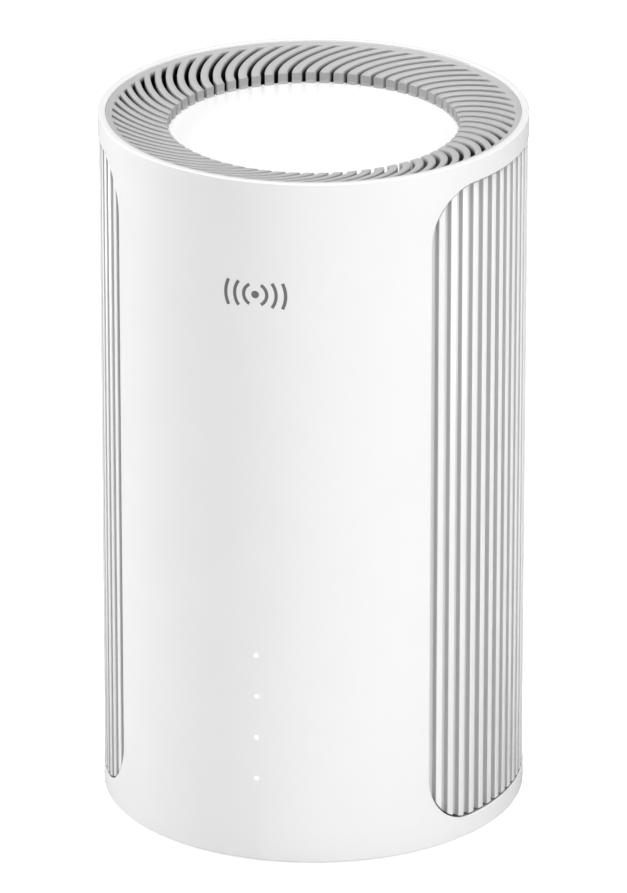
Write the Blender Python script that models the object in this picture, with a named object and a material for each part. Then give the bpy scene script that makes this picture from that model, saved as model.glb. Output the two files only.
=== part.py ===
"""Cylindrical mesh Wi-Fi node: casing, vent ring, ribbed side panels, electronics and buttons.

Frame: +Z up, origin at the centre of the circle the rubber feet rest on, status lights facing -Y.
Angles are in degrees, measured from the front (-Y) towards +X. Run with blender --background --python part.py.
"""

import math

import bmesh
import bpy
from mathutils import Matrix, Vector

MM = 0.001

# Driving sizes of the casing
BODY_R = 55.0 * MM
SHELL_WALL = 2.4 * MM
SHELL_HEIGHT = 186.0 * MM
FOOT_DROP = 1.5 * MM
FIT_GAP = 0.3 * MM
REST_GAP = 0.1 * MM

SHELL_BOTTOM = FOOT_DROP
SHELL_TOP = SHELL_BOTTOM + SHELL_HEIGHT
SHELL_INNER_R = BODY_R - SHELL_WALL
SHELL_SEGMENTS = 60

# Side windows, and the rib panels seen through them
WINDOW_START = 48.2
WINDOW_END = 131.8
WINDOW_BOTTOM = SHELL_BOTTOM + 5.5 * MM
WINDOW_TOP = SHELL_TOP - 5.9 * MM
WINDOW_CORNER = 14.0 * MM
RIB_PITCH = 4.05
GROOVE_COUNT = 21
RIB_CREST_R = BODY_R - 0.3 * MM
RIB_FLOOR_R = BODY_R - 1.6 * MM
GROOVE_FLOOR_HALF = 0.85
GROOVE_TOP_HALF = 1.15
FLANGE_OUTER_R = SHELL_INNER_R - FIT_GAP
FLANGE_INNER_R = FLANGE_OUTER_R - 1.4 * MM
FLANGE_MARGIN = 2.0 * MM

# Vent ring: a shallow funnel of curved fins round the top disc
RING_R = 53.0 * MM
RING_TOP = SHELL_TOP - 0.5 * MM
RING_LEDGE = SHELL_TOP - 3.0 * MM
FIN_COUNT = 65
FIN_OUTER_R = 51.3 * MM
FIN_INNER_R = 37.2 * MM
FIN_INNER_TOP = SHELL_TOP - 3.3 * MM
FIN_OUTER_BOTTOM = RING_LEDGE + REST_GAP
FIN_STATIONS = 3
SLOT_WIDTH = 1.15 * MM
SLOT_TURN = 16.6
SLOT_TURN_POWER = 1.45
HUB_INNER_R = 35.4 * MM
HUB_TOP = SHELL_TOP - 7.7 * MM
HUB_BOTTOM = SHELL_TOP - 8.4 * MM

DISC_R = 37.0 * MM
DISC_TOP = SHELL_TOP - 6.3 * MM
DISC_THICK = 1.3 * MM

# Status lights on the front centre line
LIGHT_BOTTOM_Z = SHELL_BOTTOM + 23.1 * MM
LIGHT_PITCH = 11.46 * MM
LIGHT_COUNT = 4
LIGHT_HOLE_R = 1.0 * MM
LIGHT_HEIGHTS = [LIGHT_BOTTOM_Z + i * LIGHT_PITCH for i in range(LIGHT_COUNT)]

# Rear port recess
RECESS_HALF_W = 31.3 * MM
RECESS_BOTTOM = 12.3 * MM
RECESS_TOP = 34.3 * MM
RECESS_WALL = 1.5 * MM
PANEL_FRONT = 45.0 * MM
PANEL_BACK = 43.2 * MM

# Boards and the things that stand on them
BOARD_THICK = 1.6 * MM
MAIN_HALF_W = 44.0 * MM
MAIN_BOTTOM = 16.0 * MM
MAIN_TOP = 156.0 * MM
PORT_BOARD_BOTTOM = 14.0 * MM
PORT_BOARD_TOP = PORT_BOARD_BOTTOM + BOARD_THICK
PART_SEAT = PORT_BOARD_TOP + REST_GAP
JACK_XS = {"wan": -9.75 * MM, "lan": 7.75 * MM}
JACK_SIZE = (16.0 * MM, 21.0 * MM, 13.4 * MM)
JACK_FACE = PANEL_FRONT - 0.4 * MM
JACK_CAVITY_DEPTH = 12.0 * MM
JACK_OPENING = ((5.9, 11.8), (5.9, 3.4), (3.1, 3.4), (3.1, 1.7), (1.8, 1.7), (1.8, 0.9))
POWER_X = -24.0 * MM
POWER_Z = PORT_BOARD_TOP + 5.6 * MM
SWITCH_Z = PORT_BOARD_TOP + 3.9 * MM
MESH_BUTTON_X = 20.4 * MM
RESET_X = 26.9 * MM

# Frame that carries the boards, aerials and casing
FRAME_INNER_R = 38.0 * MM
FRAME_OUTER_R = 48.5 * MM
BEAM_OUTER_R = 48.3 * MM
FRAME_BOTTOM = 8.8 * MM
FRAME_TOP = 173.0 * MM
RING_HEIGHT = 3.2 * MM
SCREW_CIRCLE_R = 44.3 * MM
CORNER_ANGLES = (45.0, 135.0, 225.0, 315.0)

# Heatsinks either side of the main board
HEATSINK_HALF_W = 31.0 * MM
HEATSINK_NEAR = 6.0 * MM
HEATSINK_BASE = 3.0 * MM
HEATSINK_FAR = 22.0 * MM
HEATSINK_BOTTOM = 45.0 * MM
HEATSINK_TOP = 150.0 * MM
HEATSINK_FINS = 8
HEATSINK_FIN_THICK = 1.6 * MM
HEATSINK_SCREW_X = 25.9 * MM
HEATSINK_SCREW_Z = (55.0 * MM, 140.0 * MM)
PROCESSOR_Z = 98.0 * MM
RADIO_Z = 118.0 * MM

WHITE = ("white_plastic", (0.90, 0.90, 0.90), 0.30, 0.0)
PANEL_WHITE = ("white_panel", (0.87, 0.87, 0.87), 0.40, 0.0)
GREY = ("grey_plastic", (0.60, 0.60, 0.60), 0.50, 0.0)
BLACK = ("black_plastic", (0.02, 0.02, 0.02), 0.45, 0.0)
FRAME_GREY = ("frame_plastic", (0.05, 0.05, 0.055), 0.55, 0.0)
RUBBER = ("grey_rubber", (0.25, 0.25, 0.25), 0.80, 0.0)
LENS = ("clear_lens", (0.95, 0.97, 1.00), 0.15, 0.0)
BOARD = ("circuit_board", (0.02, 0.14, 0.07), 0.40, 0.0)
CHIP = ("chip_black", (0.03, 0.03, 0.03), 0.50, 0.0)
ALUMINIUM = ("aluminium", (0.72, 0.73, 0.74), 0.35, 1.0)
TIN = ("tinned_steel", (0.66, 0.66, 0.65), 0.30, 1.0)
STEEL = ("screw_steel", (0.50, 0.50, 0.50), 0.30, 1.0)
GOLD = ("contact_gold", (0.85, 0.62, 0.25), 0.25, 1.0)
PAD = ("thermal_pad", (0.45, 0.55, 0.65), 0.80, 0.0)
PAPER = ("label_paper", (0.80, 0.80, 0.80), 0.60, 0.0)
CABLE = ("cable_sheath", (0.08, 0.08, 0.08), 0.50, 0.0)


def polar(radius, angle, z=0.0):
    """A point at this radius, angle in degrees from the front, and height."""
    a = math.radians(angle)
    return Vector((radius * math.sin(a), -radius * math.cos(a), z))


def arc_degrees(length, radius):
    """The angle that an arc of this length spans at this radius."""
    return math.degrees(length / radius)


def clear_scene():
    for obj in list(bpy.data.objects):
        bpy.data.objects.remove(obj)


def material_of(finish):
    """The Principled material for a (name, colour, roughness, metallic) finish, made once."""
    name, colour, roughness, metallic = finish
    made = bpy.data.materials.get(name)
    if made is None:
        made = bpy.data.materials.new(name)
        made.use_nodes = True
        shader = made.node_tree.nodes["Principled BSDF"]
        shader.inputs["Base Color"].default_value = (*colour, 1.0)
        shader.inputs["Roughness"].default_value = roughness
        shader.inputs["Metallic"].default_value = metallic
    return made


def add_object(name, bm, finish=None):
    """Turns a bmesh into an object with outward normals, smooth where the faces turn gently."""
    bmesh.ops.recalc_face_normals(bm, faces=bm.faces)
    mesh = bpy.data.meshes.new(name)
    bm.to_mesh(mesh)
    bm.free()
    mesh.shade_smooth()
    mesh.set_sharp_from_angle(angle=math.radians(30))
    if finish:
        mesh.materials.append(material_of(finish))
    obj = bpy.data.objects.new(name, mesh)
    bpy.context.scene.collection.objects.link(obj)
    return obj


def helper(obj):
    """Marks an object as a cutter or a piece that a Boolean joins to another."""
    obj.hide_render = True
    obj.display_type = "WIRE"
    return obj


def combine(target, other, operation):
    """Adds a Boolean modifier that joins other to target, or cuts it away."""
    modifier = target.modifiers.new(other.name, "BOOLEAN")
    modifier.operation = operation
    modifier.solver = "EXACT"
    modifier.object = helper(other)
    return target


def join(target, *others):
    for other in others:
        combine(target, other, "UNION")
    return target


def cut(target, *cutters):
    for cutter in cutters:
        combine(target, cutter, "DIFFERENCE")
    return target


def block(name, xs, ys, zs, finish=None):
    """A box between the given limits on each axis."""
    bm = bmesh.new()
    bmesh.ops.create_cube(bm, size=1.0)
    low, high = (Vector(corner) for corner in zip(xs, ys, zs))
    size = high - low
    bmesh.ops.scale(bm, vec=size, verts=bm.verts)
    bmesh.ops.translate(bm, vec=low + size / 2, verts=bm.verts)
    return add_object(name, bm, finish)


def extrude_outline(name, points, offset, finish=None):
    """A flat closed outline of 3-D points, extruded along an offset vector."""
    bm = bmesh.new()
    face = bm.faces.new([bm.verts.new(p) for p in points])
    grown = bmesh.ops.extrude_face_region(bm, geom=[face])
    moved = [v for v in grown["geom"] if isinstance(v, bmesh.types.BMVert)]
    bmesh.ops.translate(bm, vec=offset, verts=moved)
    return add_object(name, bm, finish)


def lathe(name, profile, segments, finish=None, matrix=None):
    """A closed outline of (radius, height) points turned round Z, then placed by a matrix."""
    bm = bmesh.new()
    outline = [bm.verts.new(polar(r, 0, z)) for r, z in profile]
    edges = [bm.edges.new(pair) for pair in zip(outline, outline[1:] + outline[:1])]
    bmesh.ops.spin(
        bm,
        geom=edges + outline,
        axis=(0, 0, 1),
        angle=math.tau,
        steps=segments,
        use_merge=True,
    )
    bmesh.ops.remove_doubles(bm, verts=bm.verts, dist=1e-6)
    axis_edges = [e for e in bm.edges if not e.link_faces]
    bmesh.ops.delete(bm, geom=axis_edges, context="EDGES")
    if matrix:
        bmesh.ops.transform(bm, matrix=matrix, verts=bm.verts)
    return add_object(name, bm, finish)


def tube_profile(inner, outer, bottom, top):
    return [(inner, bottom), (outer, bottom), (outer, top), (inner, top)]


def along_y(x, z, y=0.0, towards_rear=True):
    """A matrix that lays a lathe's +Z along +Y, or along -Y, from the point (x, y, z)."""
    turn = Matrix.Rotation(math.radians(-90 if towards_rear else 90), 4, "X")
    return Matrix.Translation((x, y, z)) @ turn


def rod(name, radius, start_y, end_y, x, z, finish=None, segments=16):
    """A round rod along Y."""
    profile = [(0, 0), (radius, 0), (radius, end_y - start_y), (0, end_y - start_y)]
    return lathe(name, profile, segments, finish, along_y(x, z, start_y))


def curved_slab(name, columns, finish=None):
    """A curved solid from upright (angle, inner radius, outer radius, low, high) sections."""
    bm = bmesh.new()
    loops = []
    for angle, inner, outer, low, high in columns:
        corners = ((inner, low), (outer, low), (outer, high), (inner, high))
        loops.append([bm.verts.new(polar(r, angle, z)) for r, z in corners])
    for a, b in zip(loops, loops[1:]):
        for i in range(4):
            j = (i + 1) % 4
            bm.faces.new((a[i], a[j], b[j], b[i]))
    bm.faces.new(loops[0])
    bm.faces.new(reversed(loops[-1]))
    return add_object(name, bm, finish)


def window_limits(angle, inset=0.0):
    """Low and high edges of a side window at this angle, with the outline drawn in by inset."""
    radius = WINDOW_CORNER - inset
    arc = math.radians(min(angle - WINDOW_START, WINDOW_END - angle)) * BODY_R - inset
    short = max(radius - max(arc, 0.0), 0.0)
    rise = radius - math.sqrt(radius**2 - short**2)
    return WINDOW_BOTTOM + inset + rise, WINDOW_TOP - inset - rise


def corner_angles():
    """Angles across a window, close together where its round corners are."""
    corner = arc_degrees(WINDOW_CORNER, BODY_R)
    steps = 6
    turned = [corner * (1 - math.cos(math.pi / 2 * i / steps)) for i in range(steps + 1)]
    middle_start = WINDOW_START + corner
    middle = WINDOW_END - WINDOW_START - 2 * corner
    count = 12
    between = [middle_start + middle * i / count for i in range(1, count)]
    rising = [WINDOW_START + t for t in turned]
    falling = [WINDOW_END - t for t in reversed(turned)]
    return rising + between + falling


def window_cutter(name, side):
    reach_in, reach_out = SHELL_INNER_R - 8 * MM, BODY_R + 6 * MM
    columns = [(side * a, reach_in, reach_out, *window_limits(a)) for a in corner_angles()]
    return curved_slab(name, columns)


def make_outer_shell():
    lip_r = RING_R + 0.15 * MM
    profile = [
        (SHELL_INNER_R, SHELL_BOTTOM),
        (BODY_R - 0.5 * MM, SHELL_BOTTOM),
        (BODY_R, SHELL_BOTTOM + 0.5 * MM),
        (BODY_R, SHELL_TOP - 0.7 * MM),
        (BODY_R - 0.7 * MM, SHELL_TOP),
        (lip_r, SHELL_TOP),
        (lip_r, RING_LEDGE),
        (SHELL_INNER_R, RING_LEDGE),
    ]
    shell = lathe("outer_shell", profile, SHELL_SEGMENTS, WHITE)
    holes = [
        rod(f"light_hole_{i}", LIGHT_HOLE_R, -60 * MM, -45 * MM, 0, z, segments=12)
        for i, z in enumerate(LIGHT_HEIGHTS)
    ]
    half_w = RECESS_HALF_W + FIT_GAP
    recess = block(
        "recess_hole",
        (-half_w, half_w),
        (30 * MM, 62 * MM),
        (RECESS_BOTTOM - FIT_GAP, RECESS_TOP + FIT_GAP),
    )
    windows = [window_cutter(f"window_{side}", side) for side in (-1, 1)]
    return cut(shell, *windows, recess, *holes)


def rib_columns(side):
    """Sections of the ribbed face: grooves every RIB_PITCH, standing inside the window's outline."""
    inset = FIT_GAP
    edge = arc_degrees(inset, BODY_R)
    middle = (WINDOW_START + WINDOW_END) / 2
    angles = [(WINDOW_START + edge, RIB_FLOOR_R)]
    for i in range(GROOVE_COUNT):
        centre = middle + (i - (GROOVE_COUNT - 1) / 2) * RIB_PITCH
        if i > 0:
            angles.append((centre - GROOVE_TOP_HALF, RIB_CREST_R))
            angles.append((centre - GROOVE_FLOOR_HALF, RIB_FLOOR_R))
        if i < GROOVE_COUNT - 1:
            angles.append((centre + GROOVE_FLOOR_HALF, RIB_FLOOR_R))
            angles.append((centre + GROOVE_TOP_HALF, RIB_CREST_R))
    angles.append((WINDOW_END - edge, RIB_FLOOR_R))
    inner = FLANGE_INNER_R + 0.5 * MM
    return [(side * a, inner, r, *window_limits(a, inset)) for a, r in angles]


def make_rib_panel(name, side):
    margin = arc_degrees(FLANGE_MARGIN, BODY_R)
    start, end = WINDOW_START - margin, WINDOW_END + margin
    steps = 18
    low, high = WINDOW_BOTTOM - FLANGE_MARGIN, WINDOW_TOP + FLANGE_MARGIN - FIT_GAP
    angles = [start + (end - start) * i / steps for i in range(steps + 1)]
    flange = [(side * a, FLANGE_INNER_R, FLANGE_OUTER_R, low, high) for a in angles]
    panel = curved_slab(name, flange, PANEL_WHITE)
    return join(panel, curved_slab(f"ribs_{side}", rib_columns(side)))


def fin_top(radius):
    """Height of the funnel's upper face at this radius."""
    slope = (RING_TOP - FIN_INNER_TOP) / (RING_R - FIN_INNER_R)
    return FIN_INNER_TOP + slope * (radius - FIN_INNER_R)


def slot_angle(radius):
    """How far a slot has swept round at this radius, from its inner end."""
    share = (radius - FIN_INNER_R) / (FIN_OUTER_R - FIN_INNER_R)
    return -SLOT_TURN * share**SLOT_TURN_POWER


def slot_half_angle(radius):
    """Half the angle that the slot's width covers at this radius, allowing for its slant."""
    step = 0.01 * MM
    swept = math.radians(slot_angle(radius + step) - slot_angle(radius))
    slant = math.atan2(radius * swept, step)
    return math.degrees(SLOT_WIDTH / 2 / math.cos(slant) / radius)


def make_vent_ring():
    """Curved fins between an outer band and a hub, all one piece, with open slots between the fins."""
    pitch = 360.0 / FIN_COUNT
    span = FIN_OUTER_R - FIN_INNER_R
    radii = [FIN_INNER_R + span * i / FIN_STATIONS for i in range(FIN_STATIONS + 1)]
    bm = bmesh.new()

    def point(radius, angle, z):
        return bm.verts.new(polar(radius, angle, z))

    fins = []
    for i in range(FIN_COUNT):
        base = i * pitch
        rows = []
        for r in radii:
            left = base + slot_angle(r) + slot_half_angle(r)
            right = base + pitch + slot_angle(r) - slot_half_angle(r)
            drop = (FIN_OUTER_BOTTOM - HUB_BOTTOM) * (r - FIN_INNER_R) / span
            levels = (fin_top(r), HUB_BOTTOM + drop)
            rows.append([[point(r, a, z) for z in levels] for a in (left, right)])
        inner_left = base + slot_half_angle(FIN_INNER_R)
        inner_right = base + pitch - slot_half_angle(FIN_INNER_R)
        outer_left = base + slot_angle(FIN_OUTER_R) + slot_half_angle(FIN_OUTER_R)
        outer_right = base + pitch + slot_angle(FIN_OUTER_R) - slot_half_angle(FIN_OUTER_R)
        fins.append(
            {
                "rows": rows,
                "mid": [point(FIN_INNER_R, a, HUB_TOP) for a in (inner_left, inner_right)],
                "hub": [
                    [point(HUB_INNER_R, a, z) for z in (HUB_TOP, HUB_BOTTOM)]
                    for a in (inner_left, inner_right)
                ],
                "rim": [
                    [point(RING_R, a, z) for z in (RING_TOP, FIN_OUTER_BOTTOM)]
                    for a in (outer_left, outer_right)
                ],
            }
        )
    for fin, after in zip(fins, fins[1:] + fins[:1]):
        rows, mid = fin["rows"], fin["mid"]
        for (al, ar), (bl, br) in zip(rows, rows[1:]):
            bm.faces.new((al[0], ar[0], br[0], bl[0]))
            bm.faces.new((al[1], bl[1], br[1], ar[1]))
        for side in (0, 1):
            near, far = rows[0][side], rows[1][side]
            bm.faces.new((near[0], far[0], far[1], near[1], mid[side]))
            for a, b in zip(rows[1:], rows[2:]):
                bm.faces.new((a[side][0], b[side][0], b[side][1], a[side][1]))
        bm.faces.new((rows[0][0][0], mid[0], mid[1], rows[0][1][0]))
        # The hub and the rim run on under the slot to the next fin
        for left, right, over_slot in ((0, 1, False), (1, 0, True)):
            other = after if over_slot else fin
            ends = (fin, left), (other, right)
            hub = [f["hub"][s] for f, s in ends]
            mids = [f["mid"][s] for f, s in ends]
            bottoms = [f["rows"][0][s][1] for f, s in ends]
            rim = [f["rim"][s] for f, s in ends]
            outer = [f["rows"][-1][s] for f, s in ends]
            bm.faces.new((hub[0][0], hub[1][0], mids[1], mids[0]))
            bm.faces.new((hub[0][1], bottoms[0], bottoms[1], hub[1][1]))
            bm.faces.new((hub[0][0], hub[0][1], hub[1][1], hub[1][0]))
            bm.faces.new((rim[0][0], outer[0][0], outer[1][0], rim[1][0]))
            bm.faces.new((rim[0][1], rim[1][1], outer[1][1], outer[0][1]))
            bm.faces.new((rim[0][0], rim[1][0], rim[1][1], rim[0][1]))
            if over_slot:
                bm.faces.new((mids[0], mids[1], bottoms[1], bottoms[0]))
                bm.faces.new((outer[0][0], outer[0][1], outer[1][1], outer[1][0]))
    return add_object("vent_ring", bm, GREY)


def make_top_disc():
    bottom = DISC_TOP - DISC_THICK
    skirt_inner, skirt_outer, skirt_drop = 32.5 * MM, 34.6 * MM, 2.8 * MM
    profile = [
        (0, bottom),
        (skirt_inner, bottom),
        (skirt_inner, bottom - skirt_drop),
        (skirt_outer, bottom - skirt_drop),
        (skirt_outer, bottom),
        (DISC_R, bottom),
        (DISC_R, DISC_TOP - 0.3 * MM),
        (DISC_R - 0.3 * MM, DISC_TOP),
        (0, DISC_TOP),
    ]
    return lathe("top_disc", profile, 40, WHITE)


def make_base_cover():
    """Bottom plate with vent slots, a locating wall, and wells for the screws under the feet."""
    plate_r, top = SHELL_INNER_R - FIT_GAP, SHELL_BOTTOM + 2 * MM
    wall_inner, wall_outer, wall_top = 48.8 * MM, 50.5 * MM, FRAME_BOTTOM - FIT_GAP
    profile = [
        (0, SHELL_BOTTOM),
        (plate_r, SHELL_BOTTOM),
        (plate_r, top),
        (wall_outer, top),
        (wall_outer, wall_top),
        (wall_inner, wall_top),
        (wall_inner, top),
        (0, top),
    ]
    cover = lathe("base_cover", profile, 40, WHITE)
    for i, angle in enumerate(CORNER_ANGLES):
        spot = Matrix.Translation(polar(SCREW_CIRCLE_R, angle))
        boss = [(0, top - 0.5 * MM), (4.6 * MM, top - 0.5 * MM), (4.6 * MM, wall_top), (0, wall_top)]
        join(cover, lathe(f"boss_{i}", boss, 12, matrix=spot))
        pad_r, head_r, hole_r = 6.2 * MM, 3.2 * MM, 1.7 * MM
        pad_top, head_top = SHELL_BOTTOM + 0.6 * MM, 5.0 * MM
        well = [
            (0, 0),
            (pad_r, 0),
            (pad_r, pad_top),
            (head_r, pad_top),
            (head_r, head_top),
            (hole_r, head_top),
            (hole_r, wall_top + 1 * MM),
            (0, wall_top + 1 * MM),
        ]
        cut(cover, lathe(f"well_{i}", well, 12, matrix=spot))
    slot_count = 16
    for i in range(slot_count):
        turn = Matrix.Rotation(math.tau * (i + 0.5) / slot_count, 4, "Z")
        slot = block(f"base_slot_{i}", (25 * MM, 37 * MM), (-1.2 * MM, 1.2 * MM), (0, 8 * MM))
        slot.data.transform(turn)
        cut(cover, slot)
    return cover


def make_foot(index, angle):
    top = SHELL_BOTTOM + 0.5 * MM
    profile = [(0, 0), (5.6 * MM, 0), (6.0 * MM, 0.4 * MM), (6.0 * MM, top), (0, top)]
    spot = Matrix.Translation(polar(SCREW_CIRCLE_R, angle))
    return lathe(f"foot_{index}", profile, 16, RUBBER, spot)


def screw_profile(head_r, head_h, shank_r, length):
    return [
        (0, 0),
        (head_r, 0),
        (head_r, head_h),
        (shank_r, head_h),
        (shank_r, head_h + length),
        (0, head_h + length),
    ]


def make_base_screw(index, angle):
    spot = Matrix.Translation(polar(SCREW_CIRCLE_R, angle, 3.0 * MM))
    profile = screw_profile(2.8 * MM, 1.9 * MM, 1.3 * MM, 6.6 * MM)
    return lathe(f"base_screw_{index}", profile, 12, STEEL, spot)


def frame_beam(name, angle, reach, half_width, bottom=FRAME_BOTTOM, top=FRAME_TOP):
    """An upright bar of the frame: a box between two radii, turned to its angle."""
    inner, outer = reach
    bar = block(name, (-half_width, half_width), (-outer, -inner), (bottom, top))
    bar.data.transform(Matrix.Rotation(math.radians(angle), 4, "Z"))
    return bar


def make_inner_frame():
    """A cage: base ring, top ring, upright beams, and four arms that carry the vent ring's hub."""
    segments = 36
    base_top, crown_bottom = FRAME_BOTTOM + RING_HEIGHT, FRAME_TOP - RING_HEIGHT
    seat_top = HUB_BOTTOM - FIT_GAP
    base = tube_profile(FRAME_INNER_R, FRAME_OUTER_R, FRAME_BOTTOM, base_top)
    crown = tube_profile(FRAME_INNER_R, FRAME_OUTER_R, crown_bottom, FRAME_TOP)
    seat = tube_profile(35.4 * MM, FRAME_INNER_R + 0.4 * MM, seat_top - 3 * MM, seat_top)
    frame = lathe("inner_frame", base, segments, FRAME_GREY)
    join(frame, lathe("crown", crown, segments), lathe("seat", seat, segments))
    join(frame, frame_beam("front_beam", 0, (43 * MM, 47 * MM), 5 * MM))
    for i, angle in enumerate(CORNER_ANGLES):
        join(frame, frame_beam(f"corner_beam_{i}", angle, (45.9 * MM, BEAM_OUTER_R), 3 * MM))
        arm_reach = (36 * MM, FRAME_INNER_R + 4 * MM)
        join(frame, frame_beam(f"arm_{i}", angle, arm_reach, 2.5 * MM, crown_bottom, seat_top))
    for i, angle in enumerate((90, 270)):
        join(frame, frame_beam(f"side_beam_{i}", angle, (41.5 * MM, BEAM_OUTER_R), 4 * MM))
    for side in (-1, 1):
        spot = Matrix.Translation((side * 31.0 * MM, 27.6 * MM, 0))
        boss = [(0, base_top - 1 * MM), (2.8 * MM, base_top - 1 * MM)]
        boss += [(2.8 * MM, PORT_BOARD_BOTTOM - REST_GAP), (0, PORT_BOARD_BOTTOM - REST_GAP)]
        join(frame, lathe(f"board_boss_{side}", boss, 12, matrix=spot))
    reach = MAIN_HALF_W + FIT_GAP
    slack = BOARD_THICK / 2 + 0.2 * MM
    groove = block("groove", (-reach, reach), (-slack, slack), (MAIN_BOTTOM - 1 * MM, MAIN_TOP + 1 * MM))
    cable_gate = block("cable_gate", (-3.6 * MM, 3.6 * MM), (-50 * MM, -40 * MM), (12.8 * MM, 17.6 * MM))
    cut(frame, groove, cable_gate)
    for i, angle in enumerate(CORNER_ANGLES):
        spot = Matrix.Translation(polar(SCREW_CIRCLE_R, angle))
        pilot = [(0, 0), (1.4 * MM, 0), (1.4 * MM, base_top + 1 * MM), (0, base_top + 1 * MM)]
        cut(frame, lathe(f"pilot_{i}", pilot, 12, matrix=spot))
    return frame


def make_light_pipe():
    """Clear bar behind the front wall, with one peg in each light hole."""
    bar_front = SHELL_INNER_R - 0.4 * MM
    margin = 4 * MM
    pipe = block(
        "light_pipe",
        (-2.5 * MM, 2.5 * MM),
        (-bar_front, -bar_front + 2.8 * MM),
        (LIGHT_HEIGHTS[0] - margin, LIGHT_HEIGHTS[-1] + margin),
        LENS,
    )
    for i, z in enumerate(LIGHT_HEIGHTS):
        peg = rod(
            f"peg_{i}", LIGHT_HOLE_R - 0.15 * MM, -BODY_R + 0.1 * MM, -bar_front + 1 * MM, 0, z, segments=12
        )
        join(pipe, peg)
    return pipe


LED_BOARD_BACK = -47.2 * MM
LED_BOARD_FRONT = LED_BOARD_BACK - 1.0 * MM


def make_led_board():
    margin = 6 * MM
    heights = (LIGHT_HEIGHTS[0] - margin, LIGHT_HEIGHTS[-1] + margin)
    return block("led_board", (-4 * MM, 4 * MM), (LED_BOARD_FRONT, LED_BOARD_BACK), heights, BOARD)


def make_status_led(index, z):
    front = LED_BOARD_FRONT - REST_GAP
    size = 0.8 * MM
    return block(f"status_led_{index}", (-1.5 * MM, 1.5 * MM), (front - size, front), (z - size, z + size), LENS)


def ribbon(name, path, half_width, thickness, finish):
    """A flat cable that follows (y, z) points, its faces square to the path."""
    points = [Vector(p) for p in path]
    upper, lower = [], []
    for i, p in enumerate(points):
        before, after = points[max(i - 1, 0)], points[min(i + 1, len(points) - 1)]
        run = (after - before).normalized()
        aside = Vector((-run.y, run.x)) * thickness / 2
        upper.append(p + aside)
        lower.append(p - aside)
    outline = [(-half_width, p.x, p.y) for p in upper + lower[::-1]]
    return extrude_outline(name, outline, (2 * half_width, 0, 0), finish)


def make_led_cable():
    level = 14.6 * MM
    path = [
        (-47.7 * MM, 18.3 * MM),
        (-46.6 * MM, 15.6 * MM),
        (-43.0 * MM, level),
        (-13.0 * MM, level),
        (-5.5 * MM, 16.6 * MM),
        (-2.2 * MM, 21.0 * MM),
        (-1.4 * MM, 26.0 * MM),
    ]
    return ribbon("led_cable", path, 2.5 * MM, 0.3 * MM, PANEL_WHITE)


def screw_holes(owner, radius):
    """Rods that cut the four heatsink screw holes through a part."""
    return [
        rod(f"{owner}_hole_{side}_{i}", radius, -30 * MM, 30 * MM, side * HEATSINK_SCREW_X, z, segments=12)
        for side in (-1, 1)
        for i, z in enumerate(HEATSINK_SCREW_Z)
    ]


def make_main_board():
    half = BOARD_THICK / 2
    board = block("main_board", (-MAIN_HALF_W, MAIN_HALF_W), (-half, half), (MAIN_BOTTOM, MAIN_TOP), BOARD)
    return cut(board, *screw_holes("main_board", 1.7 * MM))


def board_side(side, near, far):
    """Y limits, in order, of something that stands off the main board by near to far."""
    face = BOARD_THICK / 2
    return tuple(sorted((side * (face + near), side * (face + far))))


def make_chip(name, side, z, half):
    return block(name, (-half, half), board_side(side, 0.1 * MM, 1.5 * MM), (z - half, z + half), CHIP)


def make_shield(name, side, z, half):
    """A folded metal can over a chip, open towards the board."""
    can = block(name, (-half, half), board_side(side, 0.1 * MM, 3.2 * MM), (z - half, z + half), TIN)
    room = half - 0.4 * MM
    hollow = block(f"{name}_room", (-room, room), board_side(side, -1 * MM, 2.8 * MM), (z - room, z + room))
    return cut(can, hollow)


def make_thermal_pad(name, side, z):
    half = 9 * MM
    return block(name, (-half, half), board_side(side, 3.3 * MM, 4.2 * MM), (z - half, z + half), PAD)


def make_heatsink(name, side, chip_z):
    """Finned plate: one comb outline extruded upwards, with a pedestal that reaches for the pad."""
    width = 2 * HEATSINK_HALF_W
    step = (width - HEATSINK_FIN_THICK) / (HEATSINK_FINS - 1)
    root = HEATSINK_NEAR + HEATSINK_BASE
    outline = [(-HEATSINK_HALF_W, HEATSINK_NEAR)]
    for i in range(HEATSINK_FINS):
        left = -HEATSINK_HALF_W + i * step
        right = left + HEATSINK_FIN_THICK
        if i > 0:
            outline.append((left, root))
        outline += [(left, HEATSINK_FAR), (right, HEATSINK_FAR)]
        if i < HEATSINK_FINS - 1:
            outline.append((right, root))
    outline.append((HEATSINK_HALF_W, HEATSINK_NEAR))
    points = [(x, side * y, HEATSINK_BOTTOM) for x, y in outline]
    sink = extrude_outline(name, points, (0, 0, HEATSINK_TOP - HEATSINK_BOTTOM), ALUMINIUM)
    half = 10 * MM
    pedestal_ys = tuple(sorted((side * 5.1 * MM, side * (HEATSINK_NEAR + 1 * MM))))
    join(sink, block(f"{name}_foot", (-half, half), pedestal_ys, (chip_z - half, chip_z + half)))
    return cut(sink, *screw_holes(name, 1.7 * MM))


def make_heatsink_screw(index, x, z):
    head = 1.9 * MM
    under_head = -(HEATSINK_NEAR + HEATSINK_BASE) - REST_GAP
    profile = screw_profile(2.5 * MM, head, 1.3 * MM, 17.5 * MM)
    place = along_y(x, z, under_head - head)
    return lathe(f"heatsink_screw_{index}", profile, 12, STEEL, place)


AERIAL_R = 48.6 * MM
AERIAL_THICK = 0.8 * MM
AERIAL_HALF_W = 5.0 * MM
AERIAL_BOTTOM = 115.0 * MM
AERIAL_TOP = 160.0 * MM


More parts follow.
